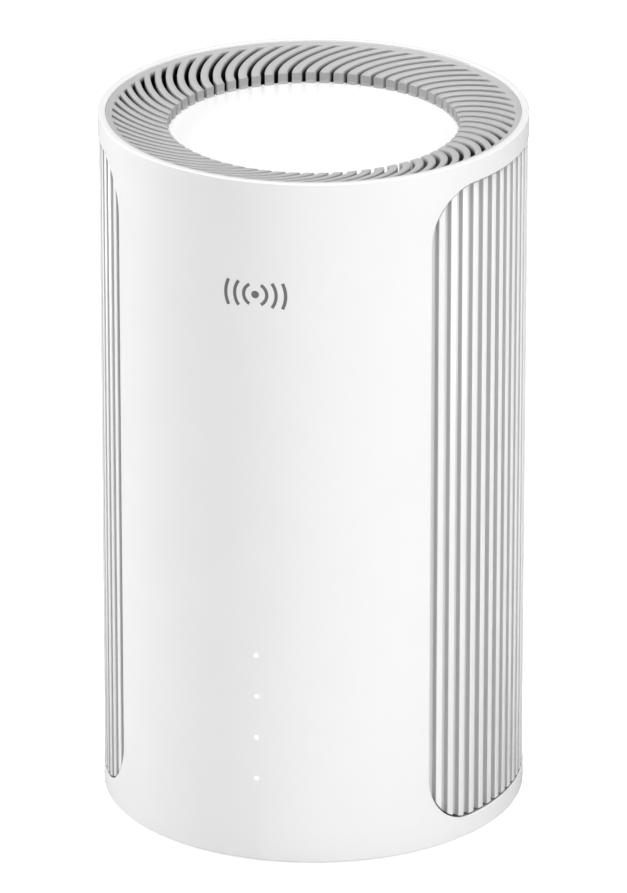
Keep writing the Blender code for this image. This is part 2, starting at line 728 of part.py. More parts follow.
def make_aerial(index, angle):
    """Printed aerial standing on the outer face of a corner beam, notched into a dipole shape."""
    ys = (-AERIAL_R - AERIAL_THICK, -AERIAL_R)
    plate = block(f"antenna_{index}", (-AERIAL_HALF_W, AERIAL_HALF_W), ys, (AERIAL_BOTTOM, AERIAL_TOP), BOARD)
    turn = Matrix.Rotation(math.radians(angle), 4, "Z")
    plate.data.transform(turn)
    for side in (-1, 1):
        xs = tuple(sorted((side * 2.2 * MM, side * 8 * MM)))
        notch = block(f"notch_{index}_{side}", xs, (-52 * MM, -46 * MM), (134 * MM, 138 * MM))
        notch.data.transform(turn)
        cut(plate, notch)
    return plate


def make_aerial_cable(index, angle):
    """Thin coax from the aerial's foot, round its beam, to the main board's edge."""
    to_side = 5.2 if angle in (45.0, 225.0) else -5.2
    start_angle = angle + to_side
    x_sign = 1 if math.sin(math.radians(angle)) > 0 else -1
    y_sign = -1 if math.cos(math.radians(angle)) > 0 else 1
    points = [
        polar(AERIAL_R - 0.8 * MM, start_angle, 118 * MM),
        polar(44.0 * MM, start_angle, 121 * MM),
        Vector((x_sign * 37.6 * MM, y_sign * 9 * MM, 128 * MM)),
        Vector((x_sign * 38.0 * MM, y_sign * 1.7 * MM, 133 * MM)),
    ]
    curve = bpy.data.curves.new(f"antenna_cable_{index}", "CURVE")
    curve.dimensions = "3D"
    curve.bevel_depth = 0.6 * MM
    curve.bevel_resolution = 1
    curve.resolution_u = 4
    curve.use_fill_caps = True
    spline = curve.splines.new("BEZIER")
    spline.bezier_points.add(len(points) - 1)
    for knot, p in zip(spline.bezier_points, points):
        knot.co = p
        knot.handle_left_type = knot.handle_right_type = "AUTO"
    curve.materials.append(material_of(CABLE))
    obj = bpy.data.objects.new(curve.name, curve)
    bpy.context.scene.collection.objects.link(obj)
    return obj


def make_port_board():
    """Horizontal board: part of a disc behind the main board, widened at the rear to carry the ports."""
    radius, front, rear, half_w = 44.0 * MM, 9.0 * MM, 41.0 * MM, 30.0 * MM
    start, end = math.asin(front / radius), math.acos(half_w / radius)
    steps = 6
    arc = [start + (end - start) * i / steps for i in range(steps + 1)]
    right = [(radius * math.cos(a), radius * math.sin(a)) for a in arc] + [(half_w, rear)]
    left = [(-x, y) for x, y in reversed(right)]
    outline = [(x, y, PORT_BOARD_BOTTOM) for x, y in right + left]
    return extrude_outline("port_board", outline, (0, 0, BOARD_THICK), BOARD)


def jack_opening(name, x):
    """Cutter for an RJ45 opening: the plug's body above two steps for its latch."""
    right = [(x + half * MM, PART_SEAT + z * MM) for half, z in JACK_OPENING]
    left = [(x - half * MM, PART_SEAT + z * MM) for half, z in reversed(JACK_OPENING)]
    far = JACK_FACE - JACK_CAVITY_DEPTH
    outline = [(px, far, pz) for px, pz in right + left]
    return extrude_outline(name, outline, (0, JACK_CAVITY_DEPTH + 1 * MM, 0))


def make_jack(name, x):
    width, depth, height = JACK_SIZE
    ys = (JACK_FACE - depth, JACK_FACE)
    jack = block(name, (x - width / 2, x + width / 2), ys, (PART_SEAT, PART_SEAT + height), BLACK)
    return cut(jack, jack_opening(f"{name}_opening", x))


def make_contacts(name, x):
    """Eight spring contacts on one bar, sloping down towards the back of the socket."""
    back, bar, tip = JACK_FACE - JACK_CAVITY_DEPTH + 0.3 * MM, 1.4 * MM, 9.2 * MM
    pitch, half, thick = 1.02 * MM, 0.24 * MM, 0.3 * MM
    count = 8
    edge = x - pitch * (count - 1) / 2
    outline = [(edge - half, back)]
    for i in range(count):
        centre = edge + i * pitch
        if i > 0:
            outline.append((centre - half, back + bar))
        outline += [(centre - half, back + tip), (centre + half, back + tip)]
        if i < count - 1:
            outline.append((centre + half, back + bar))
    outline.append((edge + (count - 1) * pitch + half, back))
    low = PART_SEAT + 9.9 * MM
    slope = 0.13
    points = [(px, py, low + slope * (py - back)) for px, py in outline]
    return extrude_outline(name, points, (0, 0, thick), GOLD)


def make_power_jack():
    half = 4.5 * MM
    face = PANEL_BACK - FIT_GAP
    body = block("power_jack", (POWER_X - half, POWER_X + half), (30 * MM, face), (PART_SEAT, 26.7 * MM), BLACK)
    nose = rod("power_nose", 3.9 * MM, face - 1 * MM, PANEL_FRONT - 0.4 * MM, POWER_X, POWER_Z)
    bore = rod("power_bore", 3.15 * MM, 34 * MM, 50 * MM, POWER_X, POWER_Z)
    return cut(join(body, nose), bore)


def make_power_pin():
    return rod("power_pin", 1.0 * MM, 34.1 * MM, 43.4 * MM, POWER_X, POWER_Z, TIN, segments=12)


def make_port_bezel():
    """Flat-backed recess in the rear wall that frames the sockets and the button."""
    low, high = RECESS_BOTTOM, RECESS_TOP
    wall = RECESS_WALL
    half = RECESS_HALF_W
    bezel = block("port_bezel", (-half, half), (PANEL_BACK, 60 * MM), (low, high), PANEL_WHITE)
    room = half - wall
    hollow = block("recess_room", (-room, room), (PANEL_FRONT, 62 * MM), (low + wall, high - wall))
    rounded = tube_profile(BODY_R - 0.2 * MM, BODY_R + 25 * MM, low - 2 * MM, high + 2 * MM)
    trim = lathe("recess_trim", rounded, SHELL_SEGMENTS)
    cut(bezel, hollow, trim)
    slack = 0.25 * MM
    width, _, height = JACK_SIZE
    for jack, x in JACK_XS.items():
        xs = (x - width / 2 - slack, x + width / 2 + slack)
        zs = (PART_SEAT - slack, PART_SEAT + height + slack)
        cut(bezel, block(f"{jack}_hole", xs, (40 * MM, 50 * MM), zs))
    cut(bezel, rod("power_hole", 4.15 * MM, 40 * MM, 50 * MM, POWER_X, POWER_Z))
    cut(bezel, rod("button_hole", 3.7 * MM, 40 * MM, 50 * MM, MESH_BUTTON_X, SWITCH_Z))
    cut(bezel, rod("reset_hole", 0.9 * MM, 40 * MM, 50 * MM, RESET_X, SWITCH_Z, segments=16))
    return bezel


SWITCH_HALF_W = 3.1 * MM
SWITCH_DEPTH = 5.0 * MM
SWITCH_HEIGHT = 7.0 * MM
PLUNGER_R = 1.5 * MM
PLUNGER_SUNK = 1.2 * MM
PLUNGER_PROUD = 1.8 * MM
MESH_SWITCH_FACE = 36.0 * MM
RESET_SWITCH_FACE = 40.8 * MM


def make_switch(name, x, face):
    """Push switch body lying on the port board, bored for its plunger."""
    xs = (x - SWITCH_HALF_W, x + SWITCH_HALF_W)
    zs = (PART_SEAT, PART_SEAT + SWITCH_HEIGHT)
    body = block(name, xs, (face - SWITCH_DEPTH, face), zs, BLACK)
    depth = PLUNGER_SUNK + 0.6 * MM
    return cut(body, rod(f"{name}_bore", PLUNGER_R + 0.1 * MM, face - depth, face + 1 * MM, x, SWITCH_Z))


def make_plunger(name, x, face):
    return rod(name, PLUNGER_R, face - PLUNGER_SUNK, face + PLUNGER_PROUD, x, SWITCH_Z, PANEL_WHITE, 16)


def make_mesh_button():
    """Round cap through the panel, with a flange behind it and a stem that meets the plunger."""
    start = MESH_SWITCH_FACE + PLUNGER_PROUD + 0.05 * MM
    stem_r, flange_r, cap_r = 1.5 * MM, 4.3 * MM, 3.5 * MM
    flange = (41.8 * MM - start, PANEL_BACK - FIT_GAP - start)
    end = PANEL_FRONT + 0.8 * MM - start
    profile = [
        (0, 0),
        (stem_r, 0),
        (stem_r, flange[0]),
        (flange_r, flange[0]),
        (flange_r, flange[1]),
        (cap_r, flange[1]),
        (cap_r, end - 0.4 * MM),
        (cap_r - 0.4 * MM, end),
        (0, end),
    ]
    return lathe("mesh_button", profile, 16, GREY, along_y(MESH_BUTTON_X, SWITCH_Z, start))


def make_rating_label():
    top = SHELL_BOTTOM - 0.05 * MM
    profile = [(0, top - 0.15 * MM), (20 * MM, top - 0.15 * MM), (20 * MM, top), (0, top)]
    return lathe("rating_label", profile, 24, PAPER)


def make_casing():
    make_outer_shell()
    make_rib_panel("rib_panel_right", 1)
    make_rib_panel("rib_panel_left", -1)
    make_vent_ring()
    make_top_disc()
    make_base_cover()
    make_rating_label()
    for i, angle in enumerate(CORNER_ANGLES, start=1):
        make_foot(i, angle)
        make_base_screw(i, angle)


def make_electronics():
    make_light_pipe()
    make_led_board()
    for i, z in enumerate(LIGHT_HEIGHTS, start=1):
        make_status_led(i, z)
    make_led_cable()
    make_main_board()
    make_chip("processor", -1, PROCESSOR_Z, 7.5 * MM)
    make_shield("processor_shield", -1, PROCESSOR_Z, 15 * MM)
    make_thermal_pad("processor_pad", -1, PROCESSOR_Z)
    make_heatsink("heatsink_front", -1, PROCESSOR_Z)
    make_chip("radio_chip", 1, RADIO_Z, 6 * MM)
    make_shield("radio_shield", 1, RADIO_Z, 17 * MM)
    make_thermal_pad("radio_pad", 1, RADIO_Z)
    make_heatsink("heatsink_rear", 1, RADIO_Z)
    places = [(side * HEATSINK_SCREW_X, z) for side in (-1, 1) for z in HEATSINK_SCREW_Z]
    for i, (x, z) in enumerate(places, start=1):
        make_heatsink_screw(i, x, z)
    for i, angle in enumerate(CORNER_ANGLES, start=1):
        make_aerial(i, angle)
        make_aerial_cable(i, angle)


def make_ports():
    make_port_board()
    make_port_bezel()
    for name, x in JACK_XS.items():
        make_jack(f"{name}_jack", x)
        make_contacts(f"{name}_contacts", x)
    make_power_jack()
    make_power_pin()
    block("board_connector", (-14 * MM, 14 * MM), (0.9 * MM, 12 * MM), (16 * MM, 22 * MM), BLACK)
    block("network_transformer", (-8 * MM, 8 * MM), (14 * MM, 20 * MM), (PART_SEAT, 21 * MM), CHIP)
    spot = Matrix.Translation((POWER_X, 18 * MM, PART_SEAT))
    can = [(0, 0), (4 * MM, 0), (4 * MM, 12 * MM), (0, 12 * MM)]
    lathe("capacitor", can, 16, ALUMINIUM, spot)
    make_switch("mesh_switch", MESH_BUTTON_X, MESH_SWITCH_FACE)
    make_plunger("mesh_plunger", MESH_BUTTON_X, MESH_SWITCH_FACE)
    make_mesh_button()
    make_switch("reset_switch", RESET_X, RESET_SWITCH_FACE)
    make_plunger("reset_plunger", RESET_X, RESET_SWITCH_FACE)


clear_scene()
make_casing()
make_inner_frame()
make_electronics()
make_ports()
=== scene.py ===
"""The look of a cylindrical mesh Wi-Fi node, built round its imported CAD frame.

Lengths are in metres. Angles are in degrees from the front (-Y), turning towards +X.
"""

import math

import bmesh
import bpy
from mathutils import Matrix, Vector


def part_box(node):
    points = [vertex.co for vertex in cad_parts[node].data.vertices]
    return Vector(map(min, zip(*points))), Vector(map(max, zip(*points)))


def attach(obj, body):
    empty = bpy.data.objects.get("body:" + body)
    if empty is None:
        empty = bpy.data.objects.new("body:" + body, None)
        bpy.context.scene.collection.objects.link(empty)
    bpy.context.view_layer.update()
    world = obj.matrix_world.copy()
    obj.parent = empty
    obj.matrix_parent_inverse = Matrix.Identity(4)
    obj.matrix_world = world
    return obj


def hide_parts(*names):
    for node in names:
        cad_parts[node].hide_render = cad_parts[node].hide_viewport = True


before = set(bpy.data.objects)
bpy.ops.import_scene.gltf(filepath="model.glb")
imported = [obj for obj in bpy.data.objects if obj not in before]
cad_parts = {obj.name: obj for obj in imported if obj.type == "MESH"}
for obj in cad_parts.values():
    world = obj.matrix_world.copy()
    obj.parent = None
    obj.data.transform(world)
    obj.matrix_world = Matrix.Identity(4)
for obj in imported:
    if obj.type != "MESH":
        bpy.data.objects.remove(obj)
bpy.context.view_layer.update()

MM = 0.001
HOUSING = "housing"

# Casing, from the frame
SHELL_LOW, SHELL_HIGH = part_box("outer_shell")
BODY_R = SHELL_HIGH.x
SHELL_BOTTOM = SHELL_LOW.z
SHELL_TOP = SHELL_HIGH.z
SHELL_INNER_R = BODY_R - 2.4 * MM
PANEL_LOW, PANEL_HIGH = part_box("rib_panel_right")
FLANGE_MARGIN = 2.0 * MM
FIT_GAP = 0.3 * MM
WINDOW_BOTTOM = PANEL_LOW.z + FLANGE_MARGIN
WINDOW_TOP = PANEL_HIGH.z - FLANGE_MARGIN + FIT_GAP
WINDOW_MID_Z = (WINDOW_BOTTOM + WINDOW_TOP) / 2
WINDOW_MIDDLES = (90.0, 270.0)
WINDOW_HALF = 41.8
WINDOW_CORNER = 14.0 * MM
WINDOW_EDGE = 0.25 * MM
CORNER_STEPS = 16
FLAT_STEPS = 48
PLAIN_STEPS = 96
BOTTOM_EDGE = 0.6 * MM
RIM_EDGE = 0.28 * MM
LIP_R = 53.04 * MM
LIP_EDGE = 0.15 * MM

# Ribs
RIB_PITCH = 4.05
GROOVE_COUNT = 21
GROOVE_HALF = 1.03 * MM
GROOVE_DRAFT = 0.12 * MM
GROOVE_DEPTH = 1.35 * MM
GROOVE_FILLET = 0.20 * MM
RIB_EDGE = 0.14 * MM
RIB_CROWN = 0.04 * MM
RIB_CREST_R = BODY_R - 0.28 * MM
PANEL_GAP = 0.36 * MM
FLANGE_INNER_R = 50.9 * MM
FLANGE_OUTER_R = 52.3 * MM

# Vent ring
RING_LOW, RING_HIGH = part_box("vent_ring")
RING_R = 53.0 * MM
RING_TOP = RING_HIGH.z
FIN_COUNT = 65
FIN_INNER_R = 37.2 * MM
FIN_OUTER_R = 51.3 * MM
FIN_INNER_TOP = SHELL_TOP - 3.3 * MM
RING_LEDGE = SHELL_TOP - 3.0 * MM
FIN_OUTER_BOTTOM = RING_LEDGE + 0.1 * MM
FIN_EDGE = 0.16 * MM
FIN_STATIONS = 14
SLOT_WIDTH = 1.15 * MM
SLOT_TURN = 16.6
SLOT_TURN_POWER = 1.45
HUB_INNER_R = 35.4 * MM
HUB_TOP = SHELL_TOP - 7.7 * MM
HUB_BOTTOM = RING_LOW.z

DISC_LOW, DISC_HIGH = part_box("top_disc")
DISC_R = 38.4 * MM

# Status lights and the printed symbol
LED_R = 0.985 * MM
LED_HOLE_R = 1.0 * MM
SYMBOL_Z = SHELL_BOTTOM + 156.0 * MM

# Rear recess
BEZEL_LOW, BEZEL_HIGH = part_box("port_bezel")
RECESS_HALF_W = BEZEL_HIGH.x
RECESS_CORNER = 2.0 * MM
RECESS_WALL = 1.5 * MM
PANEL_FRONT = 45.0 * MM
PANEL_BACK = BEZEL_LOW.y
BEYOND_REAR = 62 * MM
DRILL_START = 40 * MM

ROUND = 192


def polar(radius, angle, z=0.0):
    """A point at this radius, angle in degrees from the front, and height."""
    a = math.radians(angle)
    return Vector((radius * math.sin(a), -radius * math.cos(a), z))


def quarter(steps):
    """Angles in radians from 0 to a quarter turn."""
    return [math.pi / 2 * i / steps for i in range(steps + 1)]


def box_centre(node):
    low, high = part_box(node)
    return (low + high) / 2


def numbered(name):
    """The names of the four nodes in a numbered set."""
    return [f"{name}_{i}" for i in range(1, 5)]


LED_HEIGHTS = [box_centre(node).z for node in numbered("status_led")]


# ---------------------------------------------------------------- materials


def new_material(name):
    made = bpy.data.materials.new(name)
    made.use_nodes = True
    return made, made.node_tree, made.node_tree.nodes["Principled BSDF"]


def add_node(tree, kind, **values):
    """A node of this kind, with values for its sockets by name."""
    node = tree.nodes.new(kind)
    for name, value in values.items():
        node.inputs[name.replace("_", " ")].default_value = value
    return node


def noise(tree, scale, detail=3.0):
    """Noise in the object's own coordinates; scale is in waves per metre."""
    coords = tree.nodes.new("ShaderNodeTexCoord")
    made = add_node(tree, "ShaderNodeTexNoise", Scale=scale, Detail=detail)
    tree.links.new(coords.outputs["Object"], made.inputs["Vector"])
    return made.outputs["Fac"]


def map_range(tree, value, **limits):
    """Maps a socket from one range to another; each runs from 0 to 1 unless its limits are given."""
    made = add_node(tree, "ShaderNodeMapRange", **limits)
    tree.links.new(value, made.inputs["Value"])
    return made.outputs["Result"]


def mix_colours(tree, factor, first, second):
    """Blends two colours, each a colour tuple or a socket."""
    made = tree.nodes.new("ShaderNodeMix")
    made.data_type = "RGBA"
    tree.links.new(factor, made.inputs["Factor"])
    for socket, colour in ((made.inputs["A"], first), (made.inputs["B"], second)):
        if isinstance(colour, tuple):
            socket.default_value = (*colour, 1.0)
        else:
            tree.links.new(colour, socket)
    return made.outputs["Result"]


def grey(value):
    return (value,) * 3


def tinted(colour, share):
    return tuple(min(1.0, c * share) for c in colour)


CLOUD_SCALE = 55.0
GRAIN_STRENGTH = 0.5
COAT_ROUGHNESS = 0.12


def surface(
    name, colour, roughness, metallic=0.0, grain=2200.0, depth=0.006 * MM, coat=0.0, vary=0.02
):
    """A moulded or machined surface: cloudy colour, uneven roughness and a fine raised grain."""
    made, tree, shader = new_material(name)
    clouds = noise(tree, CLOUD_SCALE)
    fine = noise(tree, grain, 2.0)
    base = mix_colours(tree, clouds, tinted(colour, 1 - vary), tinted(colour, 1 + vary))
    tree.links.new(base, shader.inputs["Base Color"])
    rough = map_range(tree, fine, To_Min=roughness * 0.85, To_Max=roughness * 1.15)
    tree.links.new(rough, shader.inputs["Roughness"])
    bump = add_node(tree, "ShaderNodeBump", Strength=GRAIN_STRENGTH, Distance=depth)
    tree.links.new(fine, bump.inputs["Height"])
    tree.links.new(bump.outputs["Normal"], shader.inputs["Normal"])
    shader.inputs["Metallic"].default_value = metallic
    shader.inputs["Coat Weight"].default_value = coat
    shader.inputs["Coat Roughness"].default_value = COAT_ROUGHNESS
    return made


def radius_factor(tree, start, end):
    """0 within radius start of the body's axis, rising to 1 at radius end."""
    coords = tree.nodes.new("ShaderNodeTexCoord")
    flat = tree.nodes.new("ShaderNodeVectorMath")
    flat.operation = "MULTIPLY"
    flat.inputs[1].default_value = (1.0, 1.0, 0.0)
    tree.links.new(coords.outputs["Object"], flat.inputs[0])
    length = tree.nodes.new("ShaderNodeVectorMath")
    length.operation = "LENGTH"
    tree.links.new(flat.outputs["Vector"], length.inputs[0])
    return map_range(tree, length.outputs["Value"], From_Min=start, From_Max=end)


def height_factor(tree, start, end):
    """0 below height start, rising to 1 at height end."""
    coords = tree.nodes.new("ShaderNodeTexCoord")
    parts = tree.nodes.new("ShaderNodeSeparateXYZ")
    tree.links.new(coords.outputs["Object"], parts.inputs[0])
    return map_range(tree, parts.outputs["Z"], From_Min=start, From_Max=end)


def math_node(tree, operation, first, second):
    """Arithmetic on a socket and a socket or number."""
    made = tree.nodes.new("ShaderNodeMath")
    made.operation = operation
    tree.links.new(first, made.inputs[0])
    if isinstance(second, float):
        made.inputs[1].default_value = second
    else:
        tree.links.new(second, made.inputs[1])
    return made.outputs["Value"]


def shade_by(made, factor, painted_shade_colour):
    """Paints shade: turns a surface to another colour where the factor, made from its node tree, is 0."""
    tree = made.node_tree
    base = tree.nodes["Principled BSDF"].inputs["Base Color"]
    shown = base.links[0].from_socket
    tree.links.new(mix_colours(tree, factor(tree), painted_shade_colour, shown), base)


def shell_ends(tree):
    """1 on the shell's rim and bottom edge, which stay clear of the painted shade, 0 between them."""
    rim = height_factor(tree, RING_TOP - 1.0 * MM, RING_TOP - 0.6 * MM)
    bottom = height_factor(tree, SHELL_BOTTOM + 2.4 * MM, SHELL_BOTTOM + 2.0 * MM)
    return math_node(tree, "MAXIMUM", rim, bottom)


def shell_face(tree):
    """1 on the shell's outside and its ends, 0 in the window reveals and inside, which get painted shade."""
    outside = radius_factor(tree, BODY_R - 0.5 * MM, BODY_R - 0.3 * MM)
    return math_node(tree, "MAXIMUM", outside, shell_ends(tree))


def shell_wall(tree):
    """1 on the shell's outside, its ends and the window reveals, 0 inside, where near-black painted shade
    goes.
    """
    reveal = radius_factor(tree, SHELL_INNER_R + 0.1 * MM, SHELL_INNER_R + 0.3 * MM)
    return math_node(tree, "MAXIMUM", reveal, shell_ends(tree))


def panel_outside(tree):
    """1 on a rib panel's visible face, 0 on its flange and back, which get near-black painted shade."""
    return radius_factor(tree, FLANGE_OUTER_R + 0.15 * MM, FLANGE_OUTER_R + 0.35 * MM)


def rib_crest(tree):
    """1 on the ribs' crests and 0 down in the grooves, which get painted shade."""
    return radius_factor(tree, RIB_CREST_R - 0.25 * MM, RIB_CREST_R - 0.12 * MM)


def crest_or_floor(tree):
    """1 on the ribs' crests and on the groove floors, 0 on the walls between them, which get darker painted
    shade.
    """
    floor = RIB_CREST_R - GROOVE_DEPTH
    rise = radius_factor(tree, floor + 0.12 * MM, floor + 0.02 * MM)
    return math_node(tree, "MAXIMUM", rise, rib_crest(tree))


def fin_face(tree):
    """1 on the tops and inner ends of the ring's fins, falling to 0 down inside the slots, where painted
    shade deepens to near-black.
    """
    depth, reach = 1.4 * MM, 8 * MM
    # Height above the fins' inner ends, less what the funnel has risen by this radius
    outward = radius_factor(tree, FIN_INNER_R, RING_R)
    rise = math_node(tree, "MULTIPLY", outward, RING_TOP - FIN_INNER_TOP)
    upward = height_factor(tree, FIN_INNER_TOP - depth, FIN_INNER_TOP + reach)
    height = math_node(tree, "MULTIPLY", upward, reach + depth)
    share = math_node(tree, "DIVIDE", math_node(tree, "SUBTRACT", height, rise), depth)
    end = radius_factor(tree, FIN_INNER_R + 1.8 * MM, FIN_INNER_R + 0.3 * MM)
    shown = math_node(tree, "MAXIMUM", share, end)
    return math_node(tree, "MINIMUM", shown, 1.0)


def fin_end(tree):
    """0 on the fins' inner ends, which get painted shade, 1 on the rest of the ring and on the ends' feet
    just above the lid, left without it so they stay lighter as painted light bounced up from the lid.
    """
    behind = radius_factor(tree, FIN_INNER_R + 0.03 * MM, FIN_INNER_R + 0.12 * MM)
    foot = height_factor(tree, DISC_HIGH.z + 1.0 * MM, DISC_HIGH.z + 0.6 * MM)
    return math_node(tree, "MAXIMUM", behind, foot)


def glow(name, colour, strength):
    """A lit lens, brightest in the middle and fading to the colour of the wall at its edge."""
    made, tree, shader = new_material(name)
    shader.inputs["Emission Color"].default_value = (1, 1, 1, 1)
    shader.inputs["Base Color"].default_value = (*colour, 1.0)
    shader.inputs["Roughness"].default_value = 0.3
    coords = tree.nodes.new("ShaderNodeTexCoord")
    centred = tree.nodes.new("ShaderNodeMapping")
    centred.inputs["Location"].default_value = (-1, 0, -1)
    centred.inputs["Scale"].default_value = (2, 0, 2)
    tree.links.new(coords.outputs["Generated"], centred.inputs["Vector"])
    ball = tree.nodes.new("ShaderNodeTexGradient")
    ball.gradient_type = "SPHERICAL"
    tree.links.new(centred.outputs["Vector"], ball.inputs["Vector"])
    uneven = map_range(tree, noise(tree, 900.0), To_Min=strength * 0.9, To_Max=strength * 1.1)
    power = math_node(tree, "MULTIPLY", ball.outputs["Fac"], uneven)
    tree.links.new(power, shader.inputs["Emission Strength"])
    return made


SHELL_WHITE = grey(0.87)
# Colours of painted shade, laid on surfaces by shade_by below: near-black for the deepest shade, greys for
# lighter shade.
PAINTED_SHADE_BLACK = grey(0.012)
PAINTED_REVEAL_SHADE = grey(0.24)
PAINTED_FIN_END_SHADE = grey(0.34)
PAINTED_GROOVE_SHADE = grey(0.66)
PAINTED_GROOVE_WALL_SHADE = grey(0.50)

FINISH = {
    "shell": surface("shell_white", SHELL_WHITE, 0.32, coat=0.9),
    "ribs": surface("rib_white", SHELL_WHITE, 0.36, coat=0.7),
    "disc": surface("disc_white", grey(0.93), 0.16, coat=0.3, depth=0.002 * MM),
    "cover": surface("cover_white", grey(0.80), 0.45, depth=0.02 * MM, grain=1500.0),
    "bezel": surface("bezel_white", grey(0.78), 0.42, depth=0.02 * MM, grain=1500.0),
    "ring": surface("ring_grey", grey(0.44), 0.48, depth=0.03 * MM, grain=1500.0, vary=0.03),
    "button": surface("button_grey", grey(0.60), 0.48, depth=0.03 * MM, grain=1500.0, vary=0.03),
    "print": surface("symbol_print", grey(0.15), 0.5),
    "rubber": surface("foot_rubber", grey(0.22), 0.8, depth=0.05 * MM, grain=1200.0, vary=0.06),
    "black": surface("socket_black", (0.018, 0.018, 0.019), 0.4, depth=0.02 * MM),
    "frame": surface("frame_black", (0.02, 0.02, 0.022), 0.6, depth=0.03 * MM),
    "board": surface("board_green", (0.015, 0.12, 0.05), 0.35, grain=3000.0, coat=0.4, vary=0.12),
    "chip": surface("chip_epoxy", (0.025, 0.025, 0.027), 0.5, grain=4000.0, depth=0.02 * MM),
    "aluminium": surface(
        "cast_aluminium", (0.70, 0.71, 0.72), 0.35, 1.0, grain=1800.0, depth=0.02 * MM, vary=0.05
    ),
    "tin": surface("tinned_steel", (0.64, 0.64, 0.62), 0.28, 1.0, grain=900.0, depth=0.01 * MM, vary=0.05),
    "steel": surface("plated_steel", (0.50, 0.50, 0.51), 0.30, 1.0, vary=0.06),
    "gold": surface("contact_gold", (0.86, 0.62, 0.26), 0.25, 1.0, vary=0.05),
    "pad": surface("thermal_pad", (0.40, 0.50, 0.62), 0.85, grain=1200.0, depth=0.05 * MM, vary=0.08),
    "label": surface("label_paper", grey(0.74), 0.6, grain=1800.0, vary=0.03),
    "cable": surface("cable_sheath", grey(0.03), 0.45),
    "ribbon": surface("ribbon_cable", (0.75, 0.75, 0.73), 0.4),
    "lens": surface("clear_lens", (0.90, 0.93, 0.95), 0.2, coat=0.5),
    "lamp": glow("status_glow", SHELL_WHITE, 0.34),
}

# Painted shade: a mid grey on the window reveals, where the white plastic lies in shade.
shade_by(FINISH["shell"], shell_face, PAINTED_REVEAL_SHADE)
# Painted shade: near-black on the shell's inside.
shade_by(FINISH["shell"], shell_wall, PAINTED_SHADE_BLACK)
# Painted shade: a darker grey on the fins' inner ends, their feet left lighter as painted light bounced up
# from the lid.
shade_by(FINISH["ring"], fin_end, PAINTED_FIN_END_SHADE)
# Painted shade: deepening to near-black down inside the slots between the fins.
shade_by(FINISH["ring"], fin_face, PAINTED_SHADE_BLACK)
# Painted shade in the rib grooves: grey on the floors and a darker grey on the walls.
shade_by(FINISH["ribs"], rib_crest, PAINTED_GROOVE_SHADE)
shade_by(FINISH["ribs"], crest_or_floor, PAINTED_GROOVE_WALL_SHADE)
# Painted shade: near-black on the rib panels' flanges and backs, seen through the slots.
shade_by(FINISH["ribs"], panel_outside, PAINTED_SHADE_BLACK)


# ---------------------------------------------------------------- mesh tools


def add_object(name, data):
    made = bpy.data.objects.new(name, data)
    bpy.context.scene.collection.objects.link(made)
    return made


def take_mesh(name, bm):
    """A mesh from a bmesh, which is used up, with its faces turned outwards."""
    bmesh.ops.recalc_face_normals(bm, faces=bm.faces)
    mesh = bpy.data.meshes.new(name)
    bm.to_mesh(mesh)
    bm.free()
    return mesh


def add_piece(name, bm, finish, stands_for=(), body=HOUSING, sharp=35.0):
    """Makes a visible piece from a bmesh, smooth where its faces turn gently, riding on its body."""
    mesh = take_mesh(name, bm)
    mesh.shade_smooth()
    mesh.set_sharp_from_angle(angle=math.radians(sharp))
    mesh.materials.append(FINISH[finish])
    piece = add_object(name, mesh)
    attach(piece, body)
    if stands_for:
        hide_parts(*stands_for)
    return piece


def loft(bm, loops, closed_ends=False):
    """Quads between loops of the same length, each loop closed on itself."""
    for a, b in zip(loops, loops[1:]):
        for i in range(len(a)):
            j = (i + 1) % len(a)
            bm.faces.new((a[i], a[j], b[j], b[i]))
    if closed_ends:
        bm.faces.new(loops[0])
        bm.faces.new(list(reversed(loops[-1])))


def lathe(profile, segments=ROUND, matrix=None):
    """A bmesh of a (radius, height) outline turned round Z. Points at radius 0 become poles."""
    bm = bmesh.new()
    rings = []
    for r, z in profile:
        if r == 0:
            rings.append([bm.verts.new((0, 0, z))])
        else:
            rings.append([bm.verts.new(polar(r, 360 * i / segments, z)) for i in range(segments)])
    for a, b in zip(rings, rings[1:] + rings[:1]):
        if len(a) == 1 and len(b) == 1:
            continue
        for i in range(segments):
            j = (i + 1) % segments
            corners = (a[i % len(a)], a[j % len(a)], b[j % len(b)], b[i % len(b)])
            bm.faces.new(list(dict.fromkeys(corners)))
    if matrix:
        bmesh.ops.transform(bm, matrix=matrix, verts=bm.verts)
    return bm


def round_out(r, z, size, steps=5, top=True):
    """Profile points of a rounded outer corner at (r, z), in the order that runs up and then in."""
    points = [(r - size + size * math.cos(a), z - size + size * math.sin(a)) for a in quarter(steps)]
    return points if top else [(x, 2 * z - y) for x, y in reversed(points)]


def rounded_rod(radius, length, edge, steps=4):
    """Profile of a rod that runs up from height 0 to a rounded far end."""
    return [(0, 0), (radius, 0)] + round_out(radius, length, edge, steps) + [(0, length)]


def along_y(x, y, z, towards_rear=True):
    """Lays a lathe's +Z along +Y, or along -Y, from the point (x, y, z)."""
    turn = Matrix.Rotation(math.radians(-90 if towards_rear else 90), 4, "X")
    return Matrix.Translation((x, y, z)) @ turn


def rounded_rectangle(half_w, low, high, corner, steps=6):
    """Outline points (x, z) of a rectangle centred on x = 0, with round corners."""
    x, top, bottom = half_w - corner, high - corner, low + corner
    centres = ((x, top, 0), (-x, top, 1), (-x, bottom, 2), (x, bottom, 3))
    return [
        (cx + corner * math.cos(a + turn * math.pi / 2), cz + corner * math.sin(a + turn * math.pi / 2))
        for cx, cz, turn in centres
        for a in quarter(steps)
    ]


